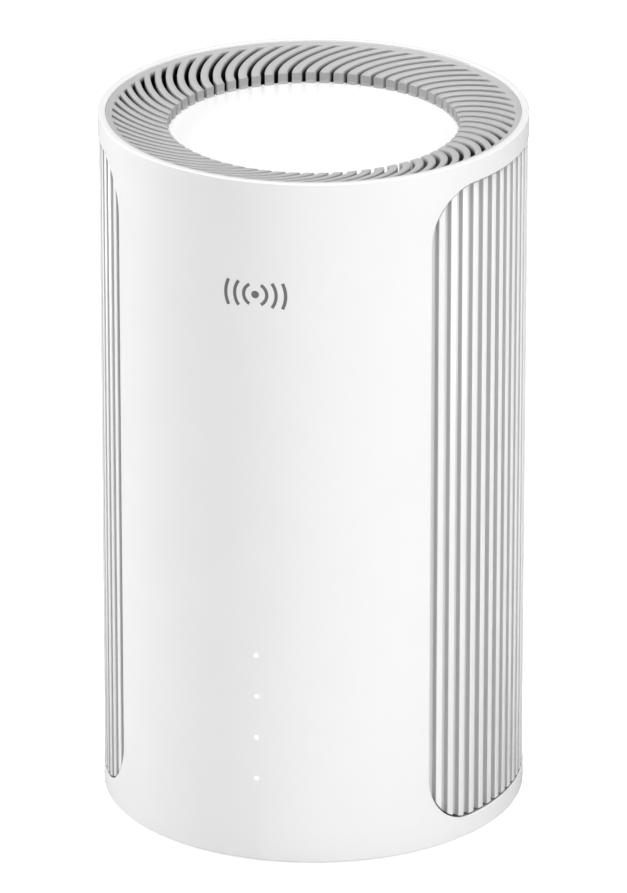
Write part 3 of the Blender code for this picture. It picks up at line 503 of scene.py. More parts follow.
def prism_y(outline, levels):
    """A bmesh of an (x, z) outline carried along Y; levels are (y, growth of the outline) pairs."""
    bm = bmesh.new()
    cx = sum(x for x, _ in outline) / len(outline)
    cz = sum(z for _, z in outline) / len(outline)
    loops = [
        [
            bm.verts.new((x + math.copysign(grow, x - cx), y, z + math.copysign(grow, z - cz)))
            for x, z in outline
        ]
        for y, grow in levels
    ]
    loft(bm, loops, closed_ends=True)
    return bm


def rectangle(x, half_w, low, high):
    return [(x + half_w, high), (x - half_w, high), (x - half_w, low), (x + half_w, low)]


def subtract(bm, *cutters, join=False):
    """A new bmesh: bm with each cutter bmesh cut away, or joined to it."""
    base = add_object("base", take_mesh("base", bm))
    tools = [add_object("tool", take_mesh("tool", cutter)) for cutter in cutters]
    for tool in tools:
        modifier = base.modifiers.new("cut", "BOOLEAN")
        modifier.operation = "UNION" if join else "DIFFERENCE"
        modifier.solver = "EXACT"
        modifier.object = tool
    graph = bpy.context.evaluated_depsgraph_get()
    result = bmesh.new()
    result.from_mesh(base.evaluated_get(graph).to_mesh())
    for obj in [base, *tools]:
        bpy.data.objects.remove(obj)
    return result


def rod(radius, start_y, end_y, x, z, segments=48):
    """A bmesh of a round rod along Y."""
    length = end_y - start_y
    profile = [(0, 0), (radius, 0), (radius, length), (0, length)]
    return lathe(profile, segments, along_y(x, start_y, z))


def soften(piece, width, segments=2, angle=40.0):
    """Rounds a piece's hard edges."""
    bevel = piece.modifiers.new("edges", "BEVEL")
    bevel.width = width
    bevel.segments = segments
    bevel.limit_method = "ANGLE"
    bevel.angle_limit = math.radians(angle)
    bevel.harden_normals = True


def point_normals_outwards(piece, radius, tolerance=0.002 * MM):
    """Gives the faces that lie on a cylinder of this radius the cylinder's own exact normals."""
    mesh = piece.data
    normals = [Vector()] * len(mesh.loops)
    for face in mesh.polygons:
        spots = [mesh.vertices[v].co for v in face.vertices]
        if all(abs(math.hypot(p.x, p.y) - radius) < tolerance for p in spots):
            for loop, p in zip(face.loop_indices, spots):
                normals[loop] = Vector((p.x, p.y, 0)).normalized()
    mesh.normals_split_custom_set(normals)


# ---------------------------------------------------------------- outer shell


def corner_centre():
    """How far a window's corner centres lie from its middle: along the wall, and in height."""
    along = BODY_R * math.radians(WINDOW_HALF) - WINDOW_CORNER
    return along, (WINDOW_TOP - WINDOW_BOTTOM) / 2 - WINDOW_CORNER


def window_columns(grow):
    """(angle from the window's middle, half height) across a window whose outline is grown by this much."""
    along, rise = corner_centre()
    radius = WINDOW_CORNER + grow
    left = [(-along - radius * math.cos(a), rise + radius * math.sin(a)) for a in quarter(CORNER_STEPS)]
    flat = [(-along + 2 * along * i / FLAT_STEPS, rise + radius) for i in range(1, FLAT_STEPS)]
    right = [(-s, h) for s, h in reversed(left)]
    return [(math.degrees(s / BODY_R), h) for s, h in left + flat + right]


def window_half_height(offset, grow):
    """Half the height of a window at this angle from its middle."""
    along, rise = corner_centre()
    radius = WINDOW_CORNER + grow
    beyond = max(0.0, BODY_R * math.radians(abs(offset)) - along)
    return rise + math.sqrt(max(radius**2 - beyond**2, 0.0))


def window_loops(bm, middle):
    """Loops of vertices from the outer face, round the window's edge and through to the inner face."""
    levels = [
        (WINDOW_EDGE * (1 - math.sin(a)), BODY_R - WINDOW_EDGE * (1 - math.cos(a))) for a in quarter(4)
    ]
    levels.append((0.0, SHELL_INNER_R))
    loops = []
    for grow, radius in levels:
        columns = window_columns(grow)
        top = [bm.verts.new(polar(radius, middle + u, WINDOW_MID_Z + h)) for u, h in columns]
        bottom = [bm.verts.new(polar(radius, middle + u, WINDOW_MID_Z - h)) for u, h in columns]
        loops.append((top, bottom))
    loft(bm, [top + bottom[::-1] for top, bottom in loops])
    return loops


def skin(bm, rows, windows, level):
    """One face of the wall: quads between its bottom and top rows, with the windows left open."""
    for (low, high, place), (next_low, next_high, next_place) in zip(rows, rows[1:] + rows[:1]):
        if not place and not next_place:
            bm.faces.new((low, next_low, next_high, high))
            continue
        top, bottom = windows[(place or next_place)[0]][level]
        if place and next_place:
            i, j = place[1], next_place[1]
            bm.faces.new((low, next_low, bottom[j], bottom[i]))
            bm.faces.new((top[i], top[j], next_high, high))
        elif place:
            i = place[1]
            bm.faces.new((low, next_low, next_high, high, top[i], bottom[i]))
        else:
            j = next_place[1]
            bm.faces.new((low, next_low, bottom[j], top[j], next_high, high))


def wall_columns():
    """(outer angle, inner angle, place in a window or None) all the way round the shell."""
    outer, inner = window_columns(WINDOW_EDGE), window_columns(0.0)
    columns = []
    for w, middle in enumerate(WINDOW_MIDDLES):
        for i, ((a, _), (b, _)) in enumerate(zip(outer, inner)):
            columns.append((middle + a, middle + b, (w, i)))
        start, end = middle + outer[-1][0], middle + 180 + outer[0][0]
        for k in range(1, PLAIN_STEPS):
            angle = start + (end - start) * k / PLAIN_STEPS
            columns.append((angle, angle, None))
    return columns


def make_shell():
    """The casing tube: rim and foot turned round, walls between them, windows, light holes and recess."""
    bm = bmesh.new()
    windows = [window_loops(bm, middle) for middle in WINDOW_MIDDLES]
    foot = [(SHELL_INNER_R, SHELL_BOTTOM)] + round_out(BODY_R, SHELL_BOTTOM, BOTTOM_EDGE, top=False)
    rim = round_out(BODY_R, SHELL_TOP, RIM_EDGE, 8)
    lip = [
        (LIP_R + LIP_EDGE - LIP_EDGE * math.sin(a), SHELL_TOP - LIP_EDGE + LIP_EDGE * math.cos(a))
        for a in quarter(3)
    ]
    crown = rim + lip + [(LIP_R, RING_LEDGE), (SHELL_INNER_R, RING_LEDGE)]

    columns = wall_columns()
    grids = []
    for profile in (foot, crown):
        grid = []
        for outer, inner, _ in columns:
            angles = [inner if r == SHELL_INNER_R else outer for r, _ in profile]
            grid.append([bm.verts.new(polar(r, a, z)) for (r, z), a in zip(profile, angles)])
        for a, b in zip(grid, grid[1:] + grid[:1]):
            for i in range(len(profile) - 1):
                bm.faces.new((a[i], b[i], b[i + 1], a[i + 1]))
        grids.append(grid)
    places = [place for _, _, place in columns]
    low, high = grids
    outer_rows = [(a[-1], b[0], p) for a, b, p in zip(low, high, places)]
    inner_rows = [(a[0], b[-1], p) for a, b, p in zip(low, high, places)]
    skin(bm, outer_rows, windows, 0)
    skin(bm, inner_rows, windows, -1)

    drill_front, drill_back, gap = -60 * MM, -45 * MM, 0.15 * MM
    holes = [rod(LED_HOLE_R, drill_front, drill_back, 0, z) for z in LED_HEIGHTS]
    outline = rounded_rectangle(
        RECESS_HALF_W + gap, BEZEL_LOW.z - gap, BEZEL_HIGH.z + gap, RECESS_CORNER + gap
    )
    recess = prism_y(outline, [(30 * MM, 0), (BEYOND_REAR, 0)])
    shell = add_piece("shell", subtract(bm, recess, *holes), "shell", ["outer_shell"])
    point_normals_outwards(shell, BODY_R)


# ---------------------------------------------------------------- rib panels


def groove_profile():
    """(distance from a groove's middle, depth) from its floor, up its wall and over the rib's edge."""
    floor_half = GROOVE_HALF - GROOVE_DRAFT
    fillet = round_out(floor_half, GROOVE_DEPTH, GROOVE_FILLET, 3)[::-1]
    edge = [(GROOVE_HALF + RIB_EDGE * (1 - math.cos(a)), RIB_EDGE * (1 - math.sin(a))) for a in quarter(4)]
    return fillet + edge


def rib_columns():
    """(angle from the panel's middle, radius of its face) across the ribbed panel."""
    half = groove_profile()
    end = WINDOW_HALF - math.degrees(PANEL_GAP / BODY_R)
    columns = []
    for i in range(GROOVE_COUNT):
        centre = (i - (GROOVE_COUNT - 1) / 2) * RIB_PITCH
        left = [(centre - math.degrees(s / BODY_R), RIB_CREST_R - d) for s, d in reversed(half)]
        right = [(centre + math.degrees(s / BODY_R), RIB_CREST_R - d) for s, d in half]
        if i > 0:
            columns += left
        if i < GROOVE_COUNT - 1:
            columns += right
            columns.append((centre + RIB_PITCH / 2, RIB_CREST_R + RIB_CROWN))
    first = columns[0][0]
    steps = 10
    tail = [-end + (first + end) * (k / steps) ** 2 for k in range(steps)]
    floor = RIB_CREST_R - GROOVE_DEPTH
    head = [(a, floor) for a in tail]
    return head + columns + [(-a, r) for a, r in reversed(head)]


def add_curved_plate(bm, middle, columns, grow, back, chamfer):
    """A curved plate with the window's outline, grown or shrunk; columns are (angle, outer radius) pairs."""
    loops = []
    for offset, face in columns:
        h = window_half_height(offset, grow)
        section = (
            (back, -h),
            (face - chamfer, -h),
            (face, chamfer - h),
            (face, h - chamfer),
            (face - chamfer, h),
            (back, h),
        )
        loops.append([bm.verts.new(polar(r, middle + offset, WINDOW_MID_Z + z)) for r, z in section])
    loft(bm, loops, closed_ends=True)


def make_rib_panel(side, middle):
    """The ribbed face in the window, on a flange that clips against the shell's inside."""
    bm = bmesh.new()
    add_curved_plate(bm, middle, rib_columns(), -PANEL_GAP, FLANGE_OUTER_R - 0.2 * MM, 0.2 * MM)
    end = WINDOW_HALF + math.degrees(FLANGE_MARGIN / BODY_R)
    steps = 96
    flange = [(end * (2 * k / steps - 1), FLANGE_OUTER_R) for k in range(steps + 1)]
    add_curved_plate(bm, middle, flange, FLANGE_MARGIN, FLANGE_INNER_R, 0.1 * MM)
    add_piece(f"rib_face_{side}", bm, "ribs", [f"rib_panel_{side}"], sharp=50.0)


# ---------------------------------------------------------------- vent ring


def fin_top(radius):
    slope = (RING_TOP - FIN_INNER_TOP) / (RING_R - FIN_INNER_R)
    return FIN_INNER_TOP + slope * (radius - FIN_INNER_R)


def slot_angle(radius):
    """How far a slot has swept round at this radius, from its inner end."""
    share = (radius - FIN_INNER_R) / (FIN_OUTER_R - FIN_INNER_R)
    return -SLOT_TURN * max(share, 0.0) ** SLOT_TURN_POWER


def width_angle(radius, width):
    """The angle that a width across a slot covers at this radius, allowing for the slot's slant."""
    step = 0.01 * MM
    swept = math.radians(slot_angle(radius + step) - slot_angle(radius))
    slant = math.atan2(radius * swept, step)
    return math.degrees(width / math.cos(slant) / radius)


def fin_sections(bm, start, pitch):
    """Six-sided sections along one fin: left foot, left shoulder, two top edges, right shoulder and foot."""
    span = FIN_OUTER_R - FIN_INNER_R
    sections = []
    for j in range(FIN_STATIONS + 1):
        r = FIN_INNER_R + span * j / FIN_STATIONS
        half, edge = width_angle(r, SLOT_WIDTH / 2), width_angle(r, FIN_EDGE)
        left = start + slot_angle(r) + half
        right = start + pitch + slot_angle(r) - half
        top = fin_top(r) - (FIN_EDGE if j == 0 else 0)
        foot = HUB_BOTTOM + (FIN_OUTER_BOTTOM - HUB_BOTTOM) * (r - FIN_INNER_R) / span
        spots = (
            (left, foot),
            (left, top - FIN_EDGE),
            (left + edge, top),
            (right - edge, top),
            (right, top - FIN_EDGE),
            (right, foot),
        )
        sections.append([bm.verts.new(polar(r, a, z)) for a, z in spots])
    return sections


def ring_columns(bm, sections, profile):
    """Points of a (radius, height) profile at the angles of a fin's six section points."""
    angles = [math.degrees(math.atan2(v.co.x, -v.co.y)) for v in sections]
    return [[bm.verts.new(polar(r, angles[i], z)) for r, z in profile] for i in (1, 2, 3, 4)]


def make_vent_ring():
    """Curved fins between a hub and an outer band, with open slots between the fins."""
    bm = bmesh.new()
    pitch = 360.0 / FIN_COUNT
    band = [
        (FIN_OUTER_R + FIN_EDGE, fin_top(FIN_OUTER_R + FIN_EDGE)),
        (RING_R - FIN_EDGE, fin_top(RING_R - FIN_EDGE)),
        (RING_R, RING_TOP - FIN_EDGE),
        (RING_R, FIN_OUTER_BOTTOM),
    ]
    hub = [(FIN_INNER_R, HUB_TOP), (HUB_INNER_R, HUB_TOP), (HUB_INNER_R, HUB_BOTTOM)]
    fins = []
    for i in range(FIN_COUNT):
        sections = fin_sections(bm, i * pitch, pitch)
        outer = ring_columns(bm, sections[-1], band)
        columns = ring_columns(bm, sections[0], hub)
        inner = [columns[0], columns[3]]
        for point in columns[1] + columns[2]:
            bm.verts.remove(point)
        fins.append((sections, outer, inner))

    for (sections, outer, inner), after in zip(fins, fins[1:] + fins[:1]):
        after_sections, after_outer, after_inner = after
        first, last = sections[0], sections[-1]
        after_first, after_last = after_sections[0], after_sections[-1]
        hub_left, hub_right = inner
        hub_after = after_inner[0]
        # The fin itself
        for k, (a, b) in enumerate(zip(sections, sections[1:])):
            for p in range(5):
                if k == 0 and p in (0, 4):
                    continue
                bm.faces.new((a[p], a[p + 1], b[p + 1], b[p]))
            bm.faces.new((a[5], a[0], b[0], b[5]))
        second = sections[1]
        bm.faces.new((first[0], hub_left[0], first[1], second[1], second[0]))
        bm.faces.new((first[4], hub_right[0], first[5], second[5], second[4]))
        bm.faces.new((first[1], hub_left[0], hub_right[0], first[4], first[3], first[2]))
        # The hub, under the fin and on under the slot
        for left, right, foot_left, foot_right in (
            (hub_left, hub_right, first[0], first[5]),
            (hub_right, hub_after, first[5], after_first[0]),
        ):
            bm.faces.new((left[0], left[1], right[1], right[0]))
            bm.faces.new((left[1], left[2], right[2], right[1]))
            bm.faces.new((left[2], foot_left, foot_right, right[2]))
        bm.faces.new((hub_right[0], hub_after[0], after_first[0], first[5]))
        # The outer band
        row = outer + [after_outer[0]]
        for a, b in zip(row, row[1:]):
            for q in range(3):
                bm.faces.new((a[q], b[q], b[q + 1], a[q + 1]))
        for p in (1, 2, 3):
            bm.faces.new((last[p], last[p + 1], outer[p][0], outer[p - 1][0]))
        bm.faces.new((last[4], after_last[1], after_outer[0][0], outer[3][0]))
        bm.faces.new((last[4], last[5], after_last[0], after_last[1]))
        bm.faces.new((last[5], outer[3][3], after_outer[0][3], after_last[0]))
        bm.faces.new((last[0], *(column[3] for column in outer), last[5]))
    add_piece("vent_ring_fins", bm, "ring", ["vent_ring"], sharp=50.0)


def make_disc():
    """Glossy lid whose edge runs in under the fins, with a skirt that drops inside the hub."""
    skirt_inner, skirt_outer, edge = 32.5 * MM, 34.6 * MM, 0.25 * MM
    bottom = DISC_HIGH.z - 1.3 * MM
    profile = [
        (0, bottom),
        (skirt_inner, bottom),
        (skirt_inner, DISC_LOW.z),
        (skirt_outer, DISC_LOW.z),
        (skirt_outer, bottom),
        (DISC_R - 0.15 * MM, bottom),
        (DISC_R, bottom + 0.15 * MM),
    ]
    profile += round_out(DISC_R, DISC_HIGH.z, edge)
    profile += [(DISC_R * 0.6, DISC_HIGH.z), (0, DISC_HIGH.z)]
    add_piece("top_lid", lathe(profile, 256), "disc", ["top_disc"])


# ---------------------------------------------------------------- lights and symbol


def make_lights():
    """The clear bar behind the wall, and one lit lens in each hole."""
    low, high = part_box("light_pipe")
    bar_front = -(SHELL_INNER_R - 0.4 * MM)
    outline = rounded_rectangle(high.x, low.z, high.z, 1.0 * MM)
    bar = prism_y(outline, [(bar_front, 0), (high.y, 0)])
    soften(add_piece("light_bar", bar, "lens", ["light_pipe"]), 0.2 * MM)
    face = BODY_R + 0.01 * MM
    root = -bar_front + 0.02 * MM
    for i, z in enumerate(LED_HEIGHTS, start=1):
        profile = rounded_rod(LED_R, face - root, 0.05 * MM, 2)
        lens = lathe(profile, 32, along_y(0, -root, z, towards_rear=False))
        add_piece(f"status_lens_{i}", lens, "lamp")


def wall_strip(bm, outline, lift=0.03 * MM, sink=0.05 * MM):
    """A thin inlay on the front wall: (inner, outer) pairs of (along the wall, height) points."""
    loops = []
    root, face = BODY_R - sink, BODY_R + lift
    for near, far in outline:
        corners = ((near, root), (near, face), (far, face), (far, root))
        loops.append(
            [bm.verts.new(polar(r, math.degrees(s / BODY_R), SYMBOL_Z + h)) for (s, h), r in corners]
        )
    loft(bm, loops, closed_ends=True)


def make_symbol():
    """A generic wireless symbol: a dot with three arcs on either side."""
    dot_r, stroke, steps = 1.0 * MM, 0.85 * MM, 24
    bm = bmesh.new()
    dot = []
    for k in range(1, steps):
        a = math.pi * (k / steps - 0.5)
        across, up = dot_r * math.cos(a), dot_r * math.sin(a)
        dot.append(((-across, up), (across, up)))
    wall_strip(bm, dot)
    for radius, reach in ((3.0 * MM, 60.0), (5.4 * MM, 37.0), (7.8 * MM, 26.0)):
        near, far = radius - stroke / 2, radius + stroke / 2
        for side in (-1, 1):
            arc = []
            for k in range(steps + 1):
                a = math.radians(reach * (2 * k / steps - 1))
                arc.append([(side * r * math.cos(a), r * math.sin(a)) for r in (near, far)])
            wall_strip(bm, arc)
    add_piece("wireless_symbol", bm, "print")


# ---------------------------------------------------------------- underside


def make_base():
    """Bottom plate with radial vent slots, a locating wall and four shallow seats for the feet."""
    low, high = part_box("base_cover")
    plate_r, plate_top = high.x, low.z + 2.0 * MM
    wall_inner, wall_outer = 48.8 * MM, 50.5 * MM
    edge = 0.3 * MM
    profile = [(0, low.z)]
    profile += round_out(plate_r, low.z, edge, 3, top=False)
    profile += [
        (plate_r, plate_top),
        (wall_outer, plate_top),
        (wall_outer, high.z),
        (wall_inner, high.z),
        (wall_inner, plate_top),
        (0, plate_top),
    ]
    cutters = []
    slot_count, slot_half, slot_corner = 16, 1.2 * MM, 1.19 * MM
    slot_inner, slot_outer = 25 * MM, 37 * MM
    below, above = -1 * MM, 9 * MM
    for i in range(slot_count):
        outline = rounded_rectangle(slot_half, slot_inner, slot_outer, slot_corner, 4)
        slot = prism_y(outline, [(below, 0), (above, 0)])
        stand = Matrix.Rotation(math.radians(90), 4, "X")
        turn = Matrix.Rotation(math.tau * (i + 0.5) / slot_count, 4, "Z")
        bmesh.ops.transform(slot, matrix=turn @ stand, verts=slot.verts)
        cutters.append(slot)
    seat_r, seat_top = 6.2 * MM, low.z + 0.6 * MM
    seat = [(0, below), (seat_r, below), (seat_r, seat_top), (0, seat_top)]
    for node in numbered("foot"):
        cutters.append(lathe(seat, 64, under(node)))
    plate = subtract(lathe(profile), *cutters)
    add_piece("bottom_plate", plate, "cover", ["base_cover"])


def under(node):
    """Moves a lathe's axis to a node's middle, leaving heights alone."""
    centre = box_centre(node)
    return Matrix.Translation((centre.x, centre.y, 0))


def make_feet():
    """Rubber feet with three raised rings under each."""
    ridge, slope, crest = 0.12 * MM, 0.2 * MM, 0.6 * MM
    for node in numbered("foot"):
        low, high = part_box(node)
        radius = (high.x - low.x) / 2
        profile = [(0, ridge)]
        for start in (1.6 * MM, 3.0 * MM, 4.4 * MM):
            near, far = start + slope, start + slope + crest
            profile += [(start, ridge), (near, 0), (far, 0), (far + slope, ridge)]
        profile += round_out(radius, 0, 0.35 * MM, 4, top=False)
        profile += [(radius, high.z), (0, high.z)]
        add_piece(f"rubber_{node}", lathe(profile, 96, under(node)), "rubber", [node])


def make_label():
    """Blank rating label with a raised border line."""
    low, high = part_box("rating_label")
    radius, line = high.x, 0.03 * MM
    line_inner, line_outer = radius - 1.6 * MM, radius - 1.2 * MM
    profile = [
        (0, low.z),
        (line_inner, low.z),
        (line_inner, low.z - line),
        (line_outer, low.z - line),
        (line_outer, low.z),
        (radius, low.z),
        (radius, high.z),
        (0, high.z),
    ]
    add_piece("blank_label", lathe(profile, 128), "label", ["rating_label"])


# ---------------------------------------------------------------- ports and button


# Radius of the panel's round opening in front of each of these
ROUND_OPENINGS = {"power_pin": 4.15 * MM, "mesh_plunger": 3.7 * MM, "reset_plunger": 0.9 * MM}


def cylinder_trim():
    """Everything outside the casing's own radius, for trimming the bezel flush."""
    inner, outer = BODY_R - 0.12 * MM, BODY_R + 25 * MM
    low, high = BEZEL_LOW.z - 3 * MM, BEZEL_HIGH.z + 3 * MM
    return lathe([(inner, low), (outer, low), (outer, high), (inner, high)], 360)


def make_bezel():
    """The recessed panel, with chamfered openings for the sockets, the button and the reset pin."""
    outline = rounded_rectangle(RECESS_HALF_W, BEZEL_LOW.z, BEZEL_HIGH.z, RECESS_CORNER)
    body_end = 60 * MM
    body = prism_y(outline, [(PANEL_BACK, 0), (body_end, 0)])
    room = rounded_rectangle(
        RECESS_HALF_W - RECESS_WALL,
        BEZEL_LOW.z + RECESS_WALL,
        BEZEL_HIGH.z - RECESS_WALL,
        RECESS_CORNER - 0.8 * MM,
    )
    cutters = [prism_y(room, [(PANEL_FRONT, 0), (BEYOND_REAR, 0)]), cylinder_trim()]
    slack, chamfer = 0.2 * MM, 0.3 * MM
    levels = [(DRILL_START, 0), (PANEL_FRONT - chamfer, 0), (PANEL_FRONT + chamfer, 2 * chamfer)]
    for node in ("wan_jack", "lan_jack"):
        low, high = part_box(node)
        centre = box_centre(node)
        half = (high.x - low.x) / 2 + slack
        cutters.append(prism_y(rectangle(centre.x, half, low.z - slack, high.z + slack), levels))
    depth = PANEL_FRONT - DRILL_START
    for node, radius in ROUND_OPENINGS.items():
        centre = box_centre(node)
        profile = [
            (0, 0),
            (radius, 0),
            (radius, depth - chamfer),
            (radius + 2 * chamfer, depth + chamfer),
            (0, depth + chamfer),
        ]
        cutters.append(lathe(profile, 64, along_y(centre.x, DRILL_START, centre.z)))
    add_piece("port_surround", subtract(body, *cutters), "bezel", ["port_bezel"])


# Half widths and heights of the socket's mouth, in mm, from its roof down to the latch slot
JACK_OPENING = ((5.9, 11.8), (5.9, 3.4), (3.1, 3.4), (3.1, 1.7), (1.8, 1.7), (1.8, 0.9))


def make_jack(node):
    """RJ45 socket with a chamfered, stepped mouth and a pair of unlit indicator windows."""
    low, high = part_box(node)
    x = box_centre(node).x
    right = [(x + half * MM, low.z + z * MM) for half, z in JACK_OPENING]
    left = [(x - half * MM, low.z + z * MM) for half, z in reversed(JACK_OPENING)]
    depth, chamfer = 12.0 * MM, 0.35 * MM
    mouth = [(high.y - depth, 0), (high.y - chamfer, 0), (high.y + chamfer, 2 * chamfer)]
    body = prism_y(rectangle(x, (high.x - low.x) / 2, low.z, high.z), [(low.y, 0), (high.y, 0)])
    hollowed = subtract(body, prism_y(right + left, mouth))
    add_piece(f"{node}_body", hollowed, "black", [node])
    lamp_half, lamp_offset = 1.3 * MM, 4.9 * MM
    lamp_low, lamp_high = low.z + 1.0 * MM, low.z + 2.4 * MM
    lamp_levels = [(high.y + 0.02 * MM, 0), (high.y + 0.12 * MM, 0), (high.y + 0.2 * MM, -0.1 * MM)]
    for side, offset in (("left", -lamp_offset), ("right", lamp_offset)):
        lamp = prism_y(rectangle(x + offset, lamp_half, lamp_low, lamp_high), lamp_levels)
        soften(add_piece(f"{node}_lamp_{side}", lamp, "lens"), 0.05 * MM)


def wire(bm, points, radius, segments=8):
    """A round wire in the YZ plane through (x, y, z) points."""
    loops = []
    for i, p in enumerate(points):
        before, after = points[max(i - 1, 0)], points[min(i + 1, len(points) - 1)]
        run = (Vector(after) - Vector(before)).normalized()
        aside = Vector((1, 0, 0))
        up = run.cross(aside)
        loops.append(
            [
                bm.verts.new(Vector(p) + radius * (math.cos(a) * aside + math.sin(a) * up))
                for a in (math.tau * k / segments for k in range(segments))
            ]
        )
    loft(bm, loops, closed_ends=True)


def make_contacts(node):
    """Eight sprung wires that come forward along the roof of the socket and dip at the back."""
    low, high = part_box(node)
    x = box_centre(node).x
    pitch, radius, count = 1.02 * MM, 0.17 * MM, 8
    bm = bmesh.new()
    for i in range(count):
        across = x + (i - (count - 1) / 2) * pitch
        path = (
            (high.y, high.z + 0.1 * MM),
            (high.y - 1.2 * MM, high.z),
            ((high.y + low.y) / 2, (low.z + high.z) / 2),
            (low.y + 1.2 * MM, low.z + 0.1 * MM),
            (low.y, low.z + 0.3 * MM),
        )
        wire(bm, [(across, y, z) for y, z in path], radius)
    add_piece(f"{node}_wires", bm, "gold", [node])


def make_power_socket():
    """Barrel socket: a rounded collar round a bore, on a block that sits on the port board."""
    low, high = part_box("power_jack")
    pin_low, pin_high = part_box("power_pin")
    centre = box_centre("power_pin")
    collar_r, bore_r, lip = 3.9 * MM, 3.15 * MM, 0.35 * MM
    block_front = PANEL_BACK - FIT_GAP
    body = prism_y(rectangle(centre.x, (high.x - low.x) / 2, low.z, high.z), [(low.y, 0), (block_front, 0)])
    start = block_front - 1 * MM
    profile = rounded_rod(collar_r, high.y - start, 0.25 * MM)
    collar = lathe(profile, 96, along_y(centre.x, start, centre.z))
    bore_start = 34 * MM
    depth = high.y - bore_start
    bore = lathe(
        [(0, 0), (bore_r, 0), (bore_r, depth - lip), (bore_r + 2 * lip, depth + lip), (0, depth + lip)],
        96,
        along_y(centre.x, bore_start, centre.z),
    )
    joined = subtract(body, collar, join=True)
    add_piece("power_socket", subtract(joined, bore), "black", ["power_jack"])
    pin_r = (pin_high.x - pin_low.x) / 2
    pin_length = pin_high.y - pin_low.y
    profile = [(0, 0), (pin_r, 0)] + round_out(pin_r, pin_length, 0.6 * MM, 6)
    profile += [(0.3 * MM, pin_length), (0, pin_length)]
    pin = lathe(profile, 48, along_y(centre.x, pin_low.y, centre.z))
    add_piece("power_socket_pin", pin, "tin", ["power_pin"])


def make_mesh_button():
    """Round cap with a dished face, a flange behind the panel, and a stem to the switch."""
    low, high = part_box("mesh_button")
    centre = box_centre("mesh_plunger")
    length = high.y - low.y
    stem_r, flange_r, cap_r = 1.5 * MM, (high.x - low.x) / 2, 3.5 * MM
    flange_start = 41.8 * MM - low.y
    flange_end = PANEL_BACK - FIT_GAP - low.y
    edge, dish = 0.45 * MM, 0.25 * MM
    profile = [
        (0, 0),
        (stem_r, 0),
        (stem_r, flange_start),
        (flange_r, flange_start),
        (flange_r, flange_end),
        (cap_r, flange_end),
    ]
    profile += round_out(cap_r, length, edge, 6)
    hollow_r = cap_r - 2 * edge
    steps = 8
    for k in range(steps):
        share = 1 - k / steps
        profile.append((hollow_r * share, length - dish * (1 - share**2)))
    profile.append((0, length - dish))
    cap = lathe(profile, 96, along_y(centre.x, low.y, centre.z))
    add_piece("mesh_button_cap", cap, "button", ["mesh_button"], body="mesh_button_body")


def make_plungers():
    """The two switches' plungers, each riding on its own body."""
    for node, body in (("mesh_plunger", "mesh_plunger_body"), ("reset_plunger", "reset_plunger_body")):
        low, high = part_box(node)
        centre = box_centre(node)
        profile = rounded_rod((high.x - low.x) / 2, high.y - low.y, 0.3 * MM)
        bm = lathe(profile, 48, along_y(centre.x, low.y, centre.z))
        add_piece(f"{node}_cap", bm, "ribbon", [node], body=body)


# ---------------------------------------------------------------- what stays from the CAD


CAD_FINISH = {
    "frame": ["inner_frame"],
    "board": ["led_board", "main_board", "port_board", *numbered("antenna")],
    "cable": numbered("antenna_cable"),
    "ribbon": ["led_cable"],
    "chip": ["processor", "radio_chip", "network_transformer"],
    "tin": ["processor_shield", "radio_shield"],
    "pad": ["processor_pad", "radio_pad"],
    "aluminium": ["heatsink_front", "heatsink_rear", "capacitor"],
    "black": ["board_connector", "mesh_switch", "reset_switch"],
    "steel": numbered("base_screw") + numbered("heatsink_screw"),
    "lens": numbered("status_led"),
}


def finish_cad_nodes():
    """Gives the CAD nodes that stay visible their own finish."""
    for finish, nodes in CAD_FINISH.items():
        for node in nodes:
            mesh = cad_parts[node].data
            mesh.materials.clear()
            mesh.materials.append(FINISH[finish])


# ---------------------------------------------------------------- studio


CAMERA_AZIMUTH = 15.4
CAMERA_ELEVATION = 22.28
CAMERA_DISTANCE = 2.1703
CAMERA_LENS = 338.2
TARGET_HEIGHT = 93.2 * MM
FLOOR_GLOW = 0.85
WORLD_STRENGTH = 0.12
LIGHT_DISTANCE = 1.3
# Name, azimuth from the camera's, elevation, width, height and power
LIGHTS = (
    ("key", 55, 12, 0.5, 1.1, 7.5),
    ("front", 4, 12, 0.5, 1.1, 5.8),
    ("left_edge", -110, 12, 0.5, 1.1, 13.6),
    ("top", 0, 88, 1.0, 1.0, 17.6),
)


def aim(obj, target):
    obj.rotation_euler = (target - obj.location).to_track_quat("-Z", "Y").to_euler()


def from_camera_side(azimuth, elevation, distance, target):
    """A place seen from the target at this azimuth (from the camera's own) and elevation."""
    flat = distance * math.cos(math.radians(elevation))
    rise = distance * math.sin(math.radians(elevation))
    return target + polar(flat, CAMERA_AZIMUTH + azimuth, rise)


def make_camera(target):
    camera = add_object("camera", bpy.data.cameras.new("camera"))
    camera.data.lens = CAMERA_LENS
    camera.data.clip_end = 20.0
    camera.location = from_camera_side(0, CAMERA_ELEVATION, CAMERA_DISTANCE, target)
    aim(camera, target)
    bpy.context.scene.camera = camera


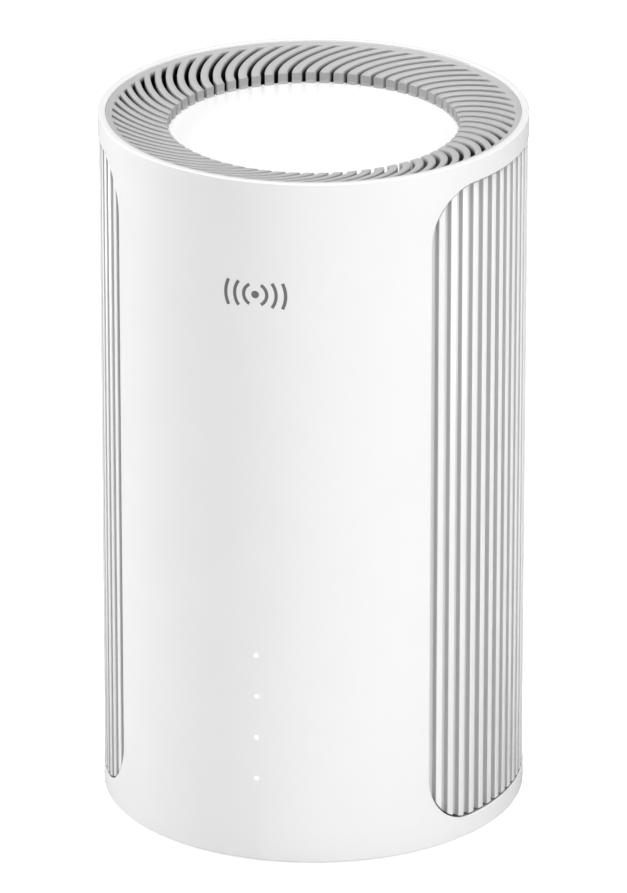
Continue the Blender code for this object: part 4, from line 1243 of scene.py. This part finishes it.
def make_light(name, azimuth, elevation, width, height, power, target):
    light = bpy.data.lights.new(name, "AREA")
    light.shape = "RECTANGLE"
    light.size = width
    light.size_y = height
    light.energy = power
    obj = add_object(name, light)
    obj.location = from_camera_side(azimuth, elevation, LIGHT_DISTANCE, target)
    aim(obj, target)


def make_floor():
    """A plain pale floor that lights the object like paper but shows as white to the camera."""
    bm = bmesh.new()
    bmesh.ops.create_grid(bm, x_segments=1, y_segments=1, size=12.0)
    mesh = bpy.data.meshes.new("floor")
    bm.to_mesh(mesh)
    bm.free()
    made, tree, shader = new_material("floor_white")
    shade = mix_colours(tree, noise(tree, 3.0), grey(0.68), grey(0.70))
    tree.links.new(shade, shader.inputs["Base Color"])
    shader.inputs["Roughness"].default_value = 0.9
    shader.inputs["Specular IOR Level"].default_value = 0.1
    shader.inputs["Emission Color"].default_value = (1, 1, 1, 1)
    path = tree.nodes.new("ShaderNodeLightPath")
    seen = map_range(tree, path.outputs["Is Camera Ray"], To_Min=0.0, To_Max=FLOOR_GLOW)
    tree.links.new(seen, shader.inputs["Emission Strength"])
    mesh.materials.append(made)
    add_object("floor", mesh)


def make_world(strength):
    world = bpy.data.worlds.new("studio")
    world.use_nodes = True
    background = world.node_tree.nodes["Background"]
    background.inputs["Color"].default_value = (1, 1, 1, 1)
    background.inputs["Strength"].default_value = strength
    bpy.context.scene.world = world


def make_studio():
    target = Vector((0, 0, SHELL_BOTTOM + TARGET_HEIGHT))
    make_camera(target)
    make_floor()
    make_world(WORLD_STRENGTH)
    for light in LIGHTS:
        make_light(*light, target)
    bpy.context.scene.view_settings.view_transform = "Standard"


make_shell()
for hand, panel_middle in zip(("right", "left"), WINDOW_MIDDLES):
    make_rib_panel(hand, panel_middle)
make_vent_ring()
make_disc()
make_lights()
make_symbol()
make_base()
make_feet()
make_label()
make_bezel()
for jack in ("wan_jack", "lan_jack"):
    make_jack(jack)
for comb in ("wan_contacts", "lan_contacts"):
    make_contacts(comb)
make_power_socket()
make_mesh_button()
make_plungers()
finish_cad_nodes()
make_studio()
